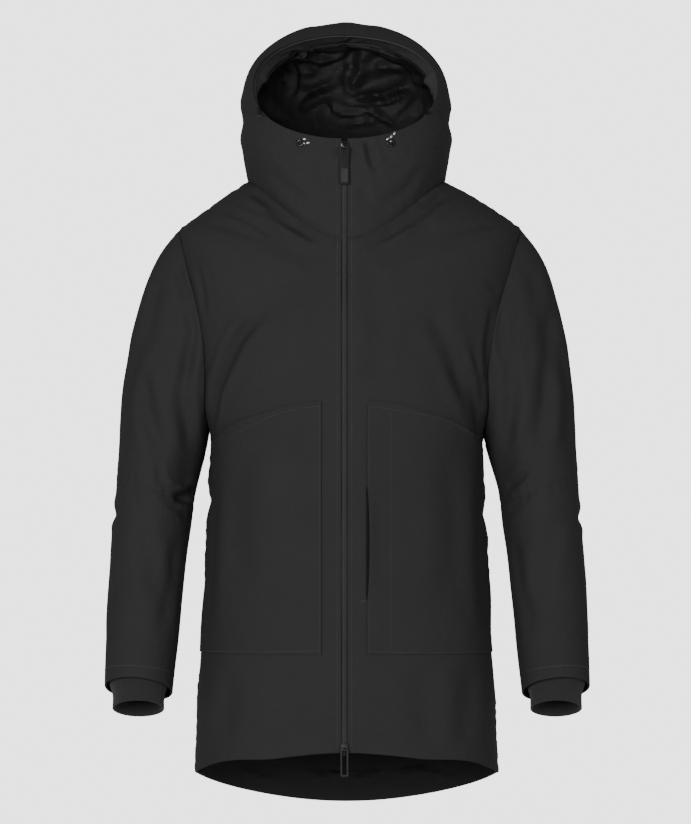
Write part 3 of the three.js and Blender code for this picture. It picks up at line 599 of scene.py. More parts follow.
# Folds, each a soft trough drawn on one group of cloth: where it is seen from, half its width in
# millimetres, its depth in millimetres (a ridge is less than nothing), and its line. From the
# front the line is in picture points, and from elsewhere in millimetres.
FOLDS = {
    "body": [
        ("front", 8, 6.2, [(249, 187), (272, 205), (300, 224), (332, 240)]),
        ("front", 5, 2.4, [(262, 206), (290, 225), (322, 245)]),
        ("front", 5, 2.0, [(238, 200), (268, 216), (300, 233)]),
        ("front", 5, 1.6, [(222, 208), (250, 222), (280, 238)]),
        ("front", 8, 6.2, [(451, 190), (425, 208), (398, 224), (362, 240)]),
        ("front", 5, 2.6, [(440, 205), (412, 223), (372, 244)]),
        ("front", 5, 1.8, [(462, 200), (440, 214), (412, 230)]),
        ("front", 6, 1.8, [(205, 222), (235, 229), (262, 241)]),
        ("front", 6, 1.6, [(498, 222), (470, 227), (440, 238)]),
        ("front", 5, 2.2, [(196, 262), (203, 290), (206, 320)]),
        ("front", 4, 2.4, [(484, 278), (494, 288), (502, 298)]),
        ("front", 7, 3.4, [(494, 300), (488, 340), (488, 392)]),
        ("front", 12, 3.6, [(425, 300), (448, 345), (470, 405)]),
        ("front", 6, 2.4, [(470, 340), (480, 375), (485, 410)]),
        ("front", 9, 6.4, [(272, 297), (238, 340), (217, 388), (210, 430)]),
        ("front", 8, 2.3, [(252, 318), (228, 352), (214, 400)]),
        ("front", 13, 4.2, [(450, 350), (468, 392), (482, 432)]),
        ("front", 9, 2.7, [(468, 365), (477, 392), (481, 425)]),
        ("front", 9, 2.8, [(286, 222), (303, 234), (320, 244)]),
        ("front", 12, 2.5, [(252, 222), (285, 245), (325, 262)]),
        ("front", 10, 3.4, [(362, 244), (382, 240), (402, 230)]),
        ("front", 14, 2.5, [(440, 222), (408, 246), (368, 262)]),
        ("front", 20, 2.8, [(246, 438), (236, 520), (240, 600)]),
        ("front", 16, 2.3, [(292, 430), (298, 500), (294, 560)]),
        ("front", 22, 3.0, [(448, 440), (456, 530), (448, 610)]),
        ("front", 16, 2.7, [(216, 470), (212, 560), (206, 640)]),
        ("front", 16, 2.7, [(478, 470), (480, 560), (486, 640)]),
        ("front", 18, 3.0, [(232, 668), (226, 705), (222, 745)]),
        ("front", 16, 2.3, [(285, 664), (289, 705), (292, 742)]),
        ("front", 18, 2.8, [(420, 664), (425, 705), (428, 745)]),
        ("front", 16, 2.7, [(470, 664), (468, 700), (464, 752)]),
        ("front", 14, 1.9, [(318, 262), (312, 330), (316, 390)]),
        ("front", 14, 1.9, [(372, 265), (380, 330), (374, 392)]),
        ("back", 16, 5.7, [(-110, -150), (-140, -250), (-150, -380)]),
        ("back", 16, 5.3, [(118, -160), (146, -260), (150, -390)]),
        ("back", 20, 3.8, [(-80, -56), (0, -72), (85, -54)]),
        ("back", 22, 4.6, [(-95, -430), (-20, -465), (60, -440), (120, -405)]),
        ("back", 18, 3.6, [(-120, -500), (-60, -540), (10, -548)]),
        ("back", 20, 3.6, [(40, -560), (100, -520), (150, -500)]),
        ("back", 24, 3.2, [(-60, -600), (-70, -700), (-66, -800)]),
        ("back", 24, 3.2, [(70, -600), (82, -720), (76, -810)]),
        ("back", 22, 2.5, [(0, -120), (4, -220), (0, -330)]),
        ("left", 14, 3.8, [(-60, -420), (10, -450), (70, -430)]),
        ("left", 16, 3.0, [(-20, -520), (10, -620), (0, -720)]),
        ("right", 14, 3.8, [(-55, -440), (5, -468), (72, -452)]),
        ("right", 16, 3.0, [(20, -530), (-8, -630), (6, -730)]),
    ],
    "sleeve": [
        ("front", 7, 4.0, [(187, 296), (193, 333), (184, 390)]),
        ("front", 6, 3.0, [(176, 262), (182, 285), (190, 305)]),
        ("front", 7, 6.0, [(172, 500), (184, 497), (196, 488)]),
        ("front", 5, 3.0, [(157, 460), (160, 478), (170, 494)]),
        ("front", 6, 3.0, [(504, 300), (500, 330), (504, 365)]),
        ("front", 11, 5.4, [(140, 365), (148, 410), (162, 462)]),
        ("front", 9, 4.7, [(188, 330), (182, 395), (192, 455)]),
        ("front", 12, 3.2, [(160, 268), (150, 320), (148, 360)]),
        ("front", 6, 3.6, [(160, 486), (176, 494), (192, 504)]),
        ("front", 6, 2.5, [(150, 478), (168, 500), (188, 516)]),
        ("front", 8, 1.4, [(126, 486), (138, 502), (150, 530)]),
        ("front", 12, 2.7, [(132, 520), (150, 560), (160, 610)]),
        ("front", 10, 2.2, [(178, 530), (170, 590), (160, 640)]),
        ("front", 12, 5.4, [(551, 290), (549, 350), (545, 405), (534, 462)]),
        ("front", 9, 4.0, [(508, 335), (512, 395), (504, 455)]),
        ("front", 12, 2.9, [(530, 260), (540, 320), (541, 360)]),
        ("front", 6, 3.2, [(530, 470), (514, 482), (498, 494)]),
        ("front", 7, 2.2, [(545, 470), (528, 495), (508, 512)]),
        ("front", 12, 2.7, [(560, 510), (545, 560), (536, 610)]),
        ("front", 10, 2.2, [(512, 530), (522, 590), (535, 640)]),
        ("left", 14, 4.7, [(-40, -180), (-20, -280), (-35, -380)]),
        ("left", 12, 4.3, [(50, -200), (38, -300), (46, -395)]),
        ("left", 8, 3.6, [(60, -430), (20, -455), (-30, -470)]),
        ("left", 12, 3.2, [(40, -520), (0, -590), (-30, -650)]),
        ("right", 14, 4.7, [(-30, -190), (-24, -290), (-42, -385)]),
        ("right", 12, 4.0, [(58, -210), (40, -310), (50, -400)]),
        ("right", 8, 3.6, [(62, -436), (18, -462), (-34, -472)]),
        ("right", 12, 3.2, [(34, -530), (-6, -600), (-34, -655)]),
        ("back", 12, 4.7, [(-300, -220), (-288, -310), (-264, -400)]),
        ("back", 10, 4.0, [(-246, -300), (-258, -370), (-240, -420)]),
        ("back", 9, 3.6, [(-305, -440), (-270, -462), (-238, -470)]),
        ("back", 12, 2.9, [(-296, -520), (-276, -600), (-290, -660)]),
        ("back", 12, 4.7, [(304, -215), (290, -305), (268, -398)]),
        ("back", 10, 4.0, [(248, -310), (262, -375), (242, -425)]),
        ("back", 9, 3.6, [(306, -446), (274, -466), (240, -474)]),
        ("back", 12, 2.9, [(298, -525), (280, -605), (294, -665)]),
    ],
    "hood": [
        ("front", 5, 5.0, [(342, 151), (330, 154), (326, 163), (322, 175)]),
        ("front", 5, 3.8, [(367, 138), (370, 152), (373, 164), (382, 171)]),
        ("front", 6, -2.4, [(361, 140), (362, 156), (364, 168)]),
        ("front", 7, 2.0, [(361, 185), (364, 193), (366, 203)]),
        ("front", 8, 1.7, [(380, 158), (395, 161), (411, 162)]),
        ("front", 9, 2.0, [(268, 168), (290, 190), (318, 208)]),
        ("front", 9, 1.7, [(300, 168), (315, 188), (330, 200)]),
        ("front", 8, 2.0, [(425, 165), (405, 190), (378, 208)]),
        ("back", 16, 4.1, [(-70, 215), (-60, 170), (-66, 120)]),
        ("back", 16, 3.7, [(62, 218), (56, 165), (64, 118)]),
        ("back", 14, 3.1, [(-30, 90), (0, 80), (36, 92)]),
        ("back", 14, 2.7, [(-90, 70), (-50, 50), (-20, 46)]),
        ("back", 14, 2.7, [(95, 72), (52, 52), (22, 44)]),
        ("top", 14, 2.7, [(-60, 128), (-10, 140), (50, 132)]),
        ("left", 12, 3.4, [(-20, 80), (30, 95), (90, 88)]),
        ("left", 12, 2.7, [(0, 30), (40, 40), (90, 28)]),
        ("right", 12, 3.4, [(-25, 82), (28, 90), (88, 96)]),
        ("right", 12, 2.7, [(4, 34), (44, 38), (88, 30)]),
    ],
    "inside": [
        ("front", 4, 5.0, [(278, 60), (291, 54), (315, 55), (333, 56), (345, 52), (357, 46)]),
        ("front", 5, 7.0, [(296, 64), (309, 64), (321, 70), (337, 64), (350, 56), (359, 48)]),
        ("front", 6, 9.0, [(353, 50), (349, 62), (352, 72)]),
        ("front", 5, 7.0, [(371, 62), (377, 59), (385, 62), (395, 66), (409, 72)]),
        ("front", 9, 9.0, [(350, 94), (370, 84), (390, 77), (409, 72)]),
        ("front", 7, 7.0, [(297, 82), (310, 84), (325, 78), (338, 70)]),
        ("front", 6, 9.0, [(300, 112), (311, 101), (325, 94), (337, 92)]),
        ("front", 4, 6.5, [(328, 99), (334, 109), (343, 114), (361, 113), (366, 107)]),
        ("front", 4, 6.5, [(366, 106), (373, 113), (385, 119), (397, 127)]),
        ("front", 4, 6.5, [(347, 104), (365, 102), (385, 102), (397, 96), (411, 91)]),
        ("front", 4, 6.0, [(345, 74), (347, 86), (350, 95)]),
        ("front", 4, 6.5, [(282, 65), (287, 75), (287, 87)]),
        ("front", 8, 7.0, [(259, 84), (262, 100), (272, 114), (290, 122)]),
        ("front", 4, 5.0, [(426, 76), (432, 70), (434, 64)]),
        ("front", 6, 5.0, [(424, 100), (421, 112), (412, 121)]),
        ("front", 4, 4.5, [(344, 127), (352, 123), (366, 121), (378, 123)]),
        ("front", 5, 4.0, [(258, 68), (263, 84)]),
        ("front", 4, 2.5, [(334, 36), (338, 42), (350, 44), (358, 38)]),
        ("front", 4, 2.5, [(398, 42), (402, 50), (396, 56)]),
        ("front", 4, 2.5, [(312, 40), (310, 48), (313, 54)]),
        ("front", 5, -4.0, [(291, 58), (300, 60), (318, 63), (330, 59), (343, 54)]),
        ("front", 7, -9.0, [(366, 38), (364, 56), (361, 72), (354, 86), (349, 95)]),
        ("front", 5, -7.0, [(291, 61), (296, 75), (294, 91), (287, 97)]),
        ("front", 8, -7.0, [(296, 96), (321, 86), (338, 77), (344, 72)]),
        ("front", 6, -7.0, [(347, 101), (365, 97), (385, 96), (397, 90), (411, 85)]),
        ("front", 5, -5.0, [(386, 64), (396, 69), (409, 70)]),
        ("front", 7, -4.0, [(312, 112), (325, 105), (336, 112)]),
        ("front", 7, -5.0, [(373, 108), (390, 108), (405, 102)]),
        ("front", 5, -6.0, [(412, 68), (414, 80), (422, 84), (432, 80)]),
        ("front", 5, -4.0, [(418, 98), (408, 110), (395, 118)]),
    ],
    "tail": [
        ("front", 5, 2.7, [(236, 774), (246, 780), (262, 782)]),
        ("front", 5, -2.7, [(262, 776), (276, 784), (296, 784)]),
        ("front", 5, 3.0, [(300, 778), (312, 785), (330, 786)]),
        ("front", 6, -2.7, [(350, 778), (372, 785), (392, 782)]),
        ("front", 5, 3.0, [(392, 776), (410, 783), (430, 780)]),
        ("front", 5, -2.4, [(430, 772), (448, 779), (462, 776)]),
        ("front", 4, -4.0, [(238, 771), (262, 778), (292, 776)]),
        ("front", 4, -5.0, [(296, 768), (320, 777), (344, 773), (352, 764)]),
        ("front", 4, -5.0, [(350, 778), (372, 776), (388, 768)]),
        ("front", 4, -4.5, [(394, 776), (418, 771), (446, 775)]),
        ("front", 3, -3.0, [(322, 766), (334, 772), (338, 784)]),
        ("front", 3, -3.0, [(368, 764), (376, 772), (372, 784)]),
    ],
}
STEP = {"front": 8, "back": 12, "left": 12, "right": 12, "top": 12}
ROLL = 0.4                  # how high the cloth rolls up beside a trough, as a share of its depth
FADE = 0.25                 # share of a fold's length over which it dies away at either end


class Fold:
    def __init__(self, points, half, depth, crisp=2.0):
        self.crisp = crisp
        self.points = np.array(points, float)
        self.half = half
        self.depth = depth
        self.steps = np.linalg.norm(np.diff(self.points, axis=0), axis=1)

    def dent(self, places):
        """How far the fold presses each place in."""
        reach = 3.2 * self.half
        low = self.points.min(0) - reach
        high = self.points.max(0) + reach
        near = np.flatnonzero(((places > low) & (places < high)).all(1))
        dents = np.zeros(len(places))
        if not near.size:
            return dents
        here = places[near]
        best = np.full(near.size, np.inf)
        share = np.zeros(near.size)
        gone = 0.0
        for a, b, step in zip(self.points, self.points[1:], self.steps):
            t = np.clip((here - a) @ (b - a) / step ** 2, 0, 1)
            distance = np.linalg.norm(here - a - t[:, None] * (b - a), axis=1)
            closer = distance < best
            best[closer] = distance[closer]
            share[closer] = (gone + t[closer] * step) / self.steps.sum()
            gone += step
        ends = np.clip(np.minimum(share, 1 - share) / FADE, 0, 1)
        ends = ends * ends * (3 - 2 * ends)
        across = best / self.half
        shape = np.exp(-across ** self.crisp) - ROLL * np.exp(-((across - 2) / 0.85) ** 2)
        dents[near] = self.depth * ends * shape
        return dents


folds = {}
for group, lines in FOLDS.items():
    folds[group] = []
    for look, half, depth, line in lines:
        hits = traced(trees[group], look, line, STEP[look])
        if len(hits) > 1:
            points = [place for place, _ in hits]
            folds[group].append(Fold(points, half * MM, depth * MM, 1.4 if group == "inside" else 2.0))

# Seams: where the edges of two pieces of cloth meet
SEAM_REACH = 3.0 * MM


edges = {name: edge_places(sheets[name]) for names in GROUPS.values() for name in names}
everywhere = [(name, *place) for name, places in edges.items() for place in places]
edge_tree = KDTree(len(everywhere))
for index, (_, middle, _, _) in enumerate(everywhere):
    edge_tree.insert(middle, index)
edge_tree.balance()
seams = {name: [] for name in edges}
for name, places in edges.items():
    for place in places:
        close = edge_tree.find_range(place[0], SEAM_REACH)
        if any(everywhere[index][0] != name for _, index, _ in close):
            seams[name].append(place)

# Small gathers that cross the seams, by group: how far apart, how long, how wide and how deep
GATHERS = {
    "body": (15, (9, 20), 4.2, (0.3, 0.9)),
    "sleeve": (14, (9, 20), 4.0, (0.3, 1.0)),
    "hood": (14, (8, 18), 4.0, (0.3, 0.9)),
    "inside": (13, (10, 24), 4.6, (0.8, 2.6)),
    "tail": (16, (8, 16), 4.0, (0.4, 1.2)),
}
gathers = []
for group, names in GROUPS.items():
    apart, lengths, half, depths = GATHERS[group]
    chosen = []
    for name in names:
        places = list(seams[name])
        chance.shuffle(places)
        for middle, along, normal in places:
            if any((middle - other).length < apart * MM * 0.8 for other in chosen):
                continue
            chosen.append(middle)
            if chance.random() < 0.25:
                continue
            across = along.cross(normal).normalized()
            across = (across + along * chance.uniform(-0.45, 0.45)).normalized()
            before = across * chance.uniform(*lengths) * MM
            after = across * chance.uniform(*lengths) * MM
            points = [middle - before, middle - before / 2, middle, middle + after / 2, middle + after]
            gathers.append(Fold(points, half * MM * chance.uniform(0.8, 1.2), chance.uniform(*depths) * MM))

# Slow waves that keep large areas from being too even
WAVE_COUNT = 14
wave_ways = waves.normal(size=(WAVE_COUNT, 3))
wave_ways /= np.linalg.norm(wave_ways, axis=1)[:, None]
wave_turns = 2 * math.pi / waves.uniform(70, 190, WAVE_COUNT) / MM
wave_starts = waves.uniform(0, 2 * math.pi, WAVE_COUNT)
WAVE_DEPTH = {"body": 0.55, "sleeve": 0.5, "hood": 0.5, "inside": 1.4, "tail": 0.5}


def waviness(places):
    turns = (places @ wave_ways.T) * wave_turns + wave_starts
    return np.sin(turns).sum(1) / math.sqrt(WAVE_COUNT)


def pressed(name, group):
    """Presses the folds, gathers and seams of a group into one of its sheets."""
    mesh = sheets[name]
    places = numbers(mesh)
    dents = WAVE_DEPTH[group] * MM * waviness(places)
    for fold in folds[group] + gathers:
        dents += fold.dent(places)
    if group == "tail":
        for fold in folds["body"]:
            dents -= fold.dent(places)
    if seams[name]:
        away = distances(points_tree([place[0] for place in seams[name]]), places) / MM
        dents += 0.55 * MM * np.exp(-(away / 1.8) ** 2) - 0.4 * MM * np.exp(-((away - 7) / 4) ** 2)
    if group in ("inside", "tail"):
        # padding never sinks into its shell
        room = slack.get(name, 0.0) + SINK_LIMIT
        dents = np.where(dents > 0, room * np.tanh(dents / room), dents)
    move_to(mesh, places - normals(mesh) * dents[:, None])


for group, names in GROUPS.items():
    for name in names:
        pressed(name, group)

# Neighbouring sheets are brought together, so that no seam gapes
SEAM_CLOSE = 5.0 * MM
SEAM_OVER = 0.45 * MM
SEAM_SPREAD = 6.0 * MM
CORNER_REACH = 8.0 * MM
CORNER_OVER = 3.2 * MM         # where three pieces meet


def rim_of(mesh):
    """Outer vertices of a sheet, as number, place and way out, and points all along its edges."""
    bm = bmesh.new()
    bm.from_mesh(mesh)
    rim = []
    dense = []
    for edge in bm.edges:
        if edge.is_boundary:
            a, b = (vert.co for vert in edge.verts)
            dense += [a.lerp(b, share / 4) for share in range(4)]
    for vert in bm.verts:
        if vert.is_boundary:
            out = Vector()
            for edge in vert.link_edges:
                if not edge.is_boundary:
                    out += (vert.co - edge.other_vert(vert).co).normalized()
            rim.append((vert.index, vert.co.copy(), out.normalized()))
    bm.free()
    return rim, dense


def close_seams(names):
    rims = {name: rim_of(sheets[name]) for name in names}
    for name in names:
        owned = [(point, other) for other in names if other != name for point in rims[other][1]]
        others = points_tree([point for point, _ in owned])
        moves = []
        for index, place, out in rims[name][0]:
            near, _, away = others.find(place)
            if away < SEAM_CLOSE:
                beside = {owned[found][1] for _, found, _ in others.find_range(place, CORNER_REACH)}
                over = CORNER_OVER if len(beside) > 1 else SEAM_OVER
                moves.append((index, place, (near - place) / 2 + out * over))
        if not moves:
            continue
        tree = points_tree([place for _, place, _ in moves])
        places = numbers(sheets[name])
        found = [tree.find(place) for place in places]
        away = np.array([item[2] for item in found])
        shift = np.array([moves[item[1]][2] for item in found])
        places += shift * np.exp(-(away / SEAM_SPREAD) ** 2)[:, None]
        move_to(sheets[name], places)


close_seams(["front_left", "front_right", "back"] + GROUPS["sleeve"] + GROUPS["hood"])
close_seams(GROUPS["inside"])
close_seams(GROUPS["tail"])

BRIM_SEAT = 14 * MM
BRIM_SPREAD = 9 * MM
BRIM_STEP = 0.6 * MM


def seat_facing():
    """Brings the front edge of the hood's facing to the inner corner of the brim."""
    lining_edge = points_tree([place[0] for place in edge_places(sheets["hood_lining"])])
    brim = [
        place - normal * (SHELL_THICK + PLY_GAP + FACING_THICK)
        for name in GROUPS["hood"]
        for place, _, normal in edge_places(sheets[name])
    ]
    brim_tree = points_tree(brim)
    spots = []
    shifts = []
    for _, place, out in rim_of(sheets["hood_facing"])[0]:
        near, _, away = brim_tree.find(place)
        if away < BRIM_SEAT and lining_edge.find(place)[2] > 15 * MM:
            spots.append(place)
            shifts.append(near - out * BRIM_STEP - place)
    tree = points_tree(spots)
    places = numbers(sheets["hood_facing"])
    found = [tree.find(place) for place in places]
    away = np.array([item[2] for item in found])
    shift = np.array([shifts[item[1]] for item in found])
    move_to(sheets["hood_facing"], places + shift * np.exp(-(away / BRIM_SPREAD) ** 2)[:, None])


seat_facing()


def keep_under(names, shell, thick):
    """Pushes inner sheets in wherever a fold of the shell would meet them."""
    tree = tree_of(shell)
    room = SHELL_THICK + PLY_GAP + thick
    for name in names:
        places = numbers(sheets[name])
        for index, place in enumerate(places):
            near, normal, _, _ = tree.find_nearest(Vector(place), 20 * MM)
            if near is not None:
                short = room - (near - Vector(place)).dot(normal)
                if short > 0:
                    places[index] -= np.array(normal) * short
        move_to(sheets[name], places)


keep_under(["hood_facing"], GROUPS["hood"], FACING_THICK)
keep_under(["hood_lining"], GROUPS["hood"], LINING_THICK)
keep_under(["back_facing"], ["back"], FACING_THICK)
keep_under(["back_lining"], ["back"], LINING_THICK)

# The front hem hangs flatter in the middle than the curve of its solids
HEM_DROP = 11 * MM
HEM_FROM = -690 * MM
HEM_LOW = -780 * MM
HEM_FLAT = 95 * MM
HEM_SIDE = 185 * MM


def drop_hem(name):
    places = numbers(sheets[name])
    down = eased((HEM_FROM - places[:, 2]) / (HEM_FROM - HEM_LOW))
    wide = eased((HEM_SIDE - np.abs(places[:, 0])) / (HEM_SIDE - HEM_FLAT))
    places[:, 2] -= HEM_DROP * down * wide
    move_to(sheets[name], places)


drop_hem("front_left")
drop_hem("front_right")

# The wearer's left pocket, at the right of the picture, has its hand opening in its upright edge
SLIT_TOP = -417 * MM
SLIT_FOOT = -577 * MM
SLIT_X = 28 * MM
SLIT_BACK = 3.5 * MM
SLIT_LIFT = 4.0 * MM
SLIT_REACH = 11 * MM


def open_slit():
    mesh = sheets["pocket_right"]
    places = numbers(mesh)
    t = np.clip((places[:, 2] - SLIT_FOOT) / (SLIT_TOP - SLIT_FOOT), 0, 1)
    swing = np.sin(math.pi * t) ** 0.7 * np.exp(-((places[:, 0] - SLIT_X) / SLIT_REACH) ** 2)
    places[:, 0] += SLIT_BACK * swing
    places[:, 1] -= SLIT_LIFT * swing
    move_to(mesh, places)


open_slit()


def hand_slit():
    """Dark strip of lining laid on the front in the hand opening, as painted shade for the hollow under the lifted
    pocket edge.
    """
    bm = bmesh.new()
    bm.from_mesh(sheets["front_right"])
    planes = (
        ((SLIT_X - 1.5 * MM, 0, 0), (-1, 0, 0)),
        ((SLIT_X + 16 * MM, 0, 0), (1, 0, 0)),
        ((0, 0, SLIT_TOP - 4 * MM), (0, 0, 1)),
        ((0, 0, SLIT_FOOT + 4 * MM), (0, 0, -1)),
    )
    for place, normal in planes:
        bmesh.ops.bisect_plane(
            bm, geom=[*bm.verts, *bm.edges, *bm.faces], plane_co=place, plane_no=normal, clear_outer=True
        )
    return finish_mesh("hand_slit_sheet", bm)


def lay_weave(mesh, start, end, ball=False):
    """Gives a mesh a UV map in metres, round the line from start to end, or over a ball about
    start."""
    axis = Vector((0, 0, 1)) if ball else (end - start).normalized()
    ahead = Vector((0, -1, 0))
    ahead = (ahead - axis * ahead.dot(axis)).normalized()
    aside = axis.cross(ahead)
    places = numbers(mesh) - np.array(start)
    along = places @ np.array(axis)
    x = places @ np.array(ahead)
    y = places @ np.array(aside)
    around = np.arctan2(y, x)
    corners = np.zeros(len(mesh.loops), np.int32)
    mesh.loops.foreach_get("vertex_index", corners)
    sizes = np.zeros(len(mesh.polygons), np.int32)
    mesh.polygons.foreach_get("loop_total", sizes)
    starts = np.zeros(len(mesh.polygons), np.int32)
    mesh.polygons.foreach_get("loop_start", starts)
    first = np.repeat(around[corners[starts]], sizes)
    turn = around[corners] - first
    turn = (turn + math.pi) % (2 * math.pi) - math.pi + first
    if ball:
        reach = np.linalg.norm(places, axis=1)
        tilt = np.arcsin(np.clip(along / reach, -1, 1))
        radius = reach.mean()
        u = turn * radius * np.cos(tilt)[corners]
        v = (tilt * radius)[corners]
    else:
        u = turn * np.hypot(x, y).mean()
        v = along[corners]
    layer = mesh.uv_layers.new(name="weave")
    layer.data.foreach_set("uv", np.column_stack((u, v)).astype(np.float32).ravel())


UP = (Vector((0, 0, -0.4)), Vector((0, 0, 0)))
AXES = {
    "front": UP, "back": UP, "pocket": UP, "hand": UP,
    "hood": (HOOD_MIDDLE, None), "collar": (HOOD_MIDDLE, None),
}


def weave_of(name, mesh):
    if name.startswith("sleeve_upper"):
        side = SIDES[name.split("_")[-1]]
        lay_weave(mesh, ELBOWS[side], SHOULDERS[side])
    elif name.startswith(("sleeve_lower", "cuff")):
        side = SIDES[name.split("_")[-1]]
        lay_weave(mesh, WRISTS[side], ELBOWS[side])
    else:
        start, end = AXES[name.split("_")[0]]
        lay_weave(mesh, start, end, ball=end is None)


BEVEL_EDGE = {
    "width": 0.8 * MM, "segments": 2, "limit_method": "ANGLE", "angle_limit": math.radians(50),
    "use_clamp_overlap": True, "profile": 0.5,
}


def clothe(name, thick, materials, slot, flat, area, held="hung", node=True, edge=True, **more):
    """Makes a sheet into a finished piece of cloth that stands for its node."""
    mesh = sheets[name]
    weave_of(name, mesh)
    wall = {
        "thickness": thick, "offset": -1, "use_even_offset": False, "use_quality_normals": True,
        "material_offset": len(materials) - 1,
    }
    mesh.materials.clear()
    for material in materials:
        mesh.materials.append(material)
    steps = [("SOLIDIFY", wall)] + ([("BEVEL", BEVEL_EDGE)] if edge else [])
    made = applied(mesh, *steps)
    made.name = name + "_cloth"
    made.polygons.foreach_set("use_smooth", [True] * len(made.polygons))
    piece = bpy.data.objects.new(name + "_cloth", made)
    bpy.context.scene.collection.objects.link(piece)
    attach(piece, COAT)
    if node:
        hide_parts(name)
    return piece


# The cut of each piece: width, length and flat area
CUTS = {
    "front_left": ((0.300, 0.860), 0.200),
    "front_right": ((0.300, 0.860), 0.205),
    "back": ((0.600, 0.900), 0.460),
    "sleeve_upper_left": ((0.400, 0.400), 0.102),
    "sleeve_upper_right": ((0.400, 0.400), 0.102),
    "sleeve_lower_left": ((0.360, 0.310), 0.102),
    "sleeve_lower_right": ((0.360, 0.310), 0.102),
    "cuff_left": ((0.270, 0.055), 0.0125),
    "cuff_right": ((0.270, 0.055), 0.0125),
    "collar_left": ((0.330, 0.200), 0.048),
    "collar_right": ((0.330, 0.200), 0.048),
    "hood_left": ((0.230, 0.210), 0.038),
    "hood_right": ((0.230, 0.210), 0.038),
    "pocket_left": ((0.235, 0.350), 0.078),
    "pocket_right": ((0.240, 0.350), 0.080),
    "hood_facing": ((0.640, 0.062), 0.0246),
    "hood_lining": ((0.480, 0.400), 0.140),
    "back_facing": ((0.430, 0.085), 0.021),
    "back_lining": ((0.440, 0.200), 0.080),
}
for name, (flat, area) in CUTS.items():
    if name == "hood_lining":
        clothe(name, LINING_THICK, [LINING], "lining", flat, area)
    # The back's lining takes the darker painted-shade copy of the lining.
    elif name == "back_lining":
        clothe(name, LINING_THICK, [PAINTED_SHADE_TAIL_LINING], "lining", flat, area)
    # The facings take the painted-light and painted-shade copies of the shell cloth.
    elif name == "hood_facing":
        clothe(name, FACING_THICK, [PAINTED_LIGHT_FACING], "shell", flat, area)
    elif name == "back_facing":
        clothe(name, FACING_THICK, [PAINTED_SHADE_HEM_CLOTH], "shell", flat, area)
    elif name.startswith("pocket"):
        clothe(name, POCKET_THICK, [SHELL], "shell", flat, area)
    elif name.startswith("cuff"):
        clothe(name, KNIT_THICK, [KNIT], "knit", flat, area, held="stretched", edge=False)
    else:
        clothe(name, SHELL_THICK, [SHELL, LINING], "shell", flat, area)

# A thin dark strip in the hand opening stands in for its shade: painted shade.
sheets["hand_slit"] = hand_slit()
clothe("hand_slit", 0.15 * MM, [LINING], "lining", (0.018, 0.152), None, node=False, edge=False)


# Sewing: small stretched beads laid along a line on the cloth
STITCH = (2.9 * MM, 0.75 * MM, 0.55 * MM)
STITCH_STEP = 3.9 * MM
STITCH_SINK = 0.05 * MM


def beads(name, places, size, material, body=COAT, level=1):
    """Many small alike beads, each along its own direction, as one piece."""
    seed = bmesh.new()
    bmesh.ops.create_icosphere(seed, subdivisions=level, radius=0.5)
    bmesh.ops.scale(seed, vec=size, verts=seed.verts)
    bead = finish_mesh("bead", seed)
    bm = bmesh.new()
    for place, along, normal in places:
        along = (along - normal * along.dot(normal)).normalized()
        turn = Matrix((along, normal.cross(along), normal)).transposed().to_4x4()
        one = bead.copy()
        one.transform(Matrix.Translation(place) @ turn)
        bm.from_mesh(one)
        bpy.data.meshes.remove(one)
    return new_object(name, finish_mesh(name, bm), material, body)


def stepped(hits, step):
    """Even steps along a line of (place, normal) pairs, each as (place, direction, normal)."""
    found = []
    gone = step / 2
    for (a, normal), (b, _) in zip(hits, hits[1:]):
        length = (b - a).length
        if length > 20 * MM or length < 1e-6:
            continue
        along = (b - a) / length
        while gone < length:
            found.append((a + along * gone, along, normal))
            gone += step
        gone -= length
    return found


outside = [
    name for name in CUTS if not name.startswith(("cuff", "hood_facing", "hood_lining", "back_facing", "back_lining"))
]
shell_tree = tree_of(outside)


def drawn(look, line, tree=None):
    """Stitches along a line drawn on the finished cloth."""
    found = traced(tree or shell_tree, look, line, 2.0 if look == "front" else 3.0)
    return stepped(found, STITCH_STEP)


def sliced(name, place, normal, test=None):
    """Stitches where a plane cuts a sheet."""
    bm = bmesh.new()
    bm.from_mesh(sheets[name])
    cut = bmesh.ops.bisect_plane(
        bm, geom=[*bm.verts, *bm.edges, *bm.faces], plane_co=place, plane_no=normal
    )
    found = []
    for edge in cut["geom_cut"]:
        if not isinstance(edge, bmesh.types.BMEdge) or edge.calc_length() < 1.2 * MM:
            continue
        a, b = edge.verts
        middle = (a.co + b.co) / 2
        if test is None or test(middle):
            found.append((middle, (b.co - a.co).normalized(), edge.link_faces[0].normal.copy()))
    bm.free()
    return found


ZIP_X = -2.8 * MM
ZIP_STITCH = 10.0 * MM
zip_rows = []
for name, side in SIDES.items():
    across = Vector((ZIP_X + side * ZIP_STITCH, 0, 0))
    for piece in ("front_", "collar_"):
        zip_rows += sliced(piece + name, across, Vector((1, 0, 0)), lambda place: place.y < -0.09)
beads("stitches_zip", zip_rows, STITCH, THREAD)

POCKET_LEFT_TOP = [(321, 406), (300, 408), (280, 413), (260, 421), (240, 431), (226, 438)]
POCKET_RIGHT_TOP = [(367, 406), (395, 410), (415, 413), (435, 417), (452, 423), (470, 433), (479, 438)]
pocket_rows = drawn("front", POCKET_LEFT_TOP) + drawn("front", POCKET_RIGHT_TOP)
pocket_rows += drawn("front", [(319.5, 406), (319.5, 652)])
pocket_rows += drawn("front", [(369, 406), (369, 482)]) + drawn("front", [(369, 606), (369, 652)])
pocket_rows += drawn("front", [(391, 412), (391, 652)])
pocket_rows += drawn("front", [(321, 651), (260, 652), (200, 651)])
pocket_rows += drawn("front", [(367, 651.5), (430, 653), (492, 652)])
beads("stitches_pockets", pocket_rows, STITCH, THREAD)

BARTACK = [(360.5, 601), (362, 601.2), (363.5, 600.8), (365, 601), (366.5, 601.2)]
tack = traced(shell_tree, "front", BARTACK, 0.5)
beads("bartack", stepped(tack, 0.9 * MM), (0.6 * MM, 2.4 * MM, 0.7 * MM), THREAD)

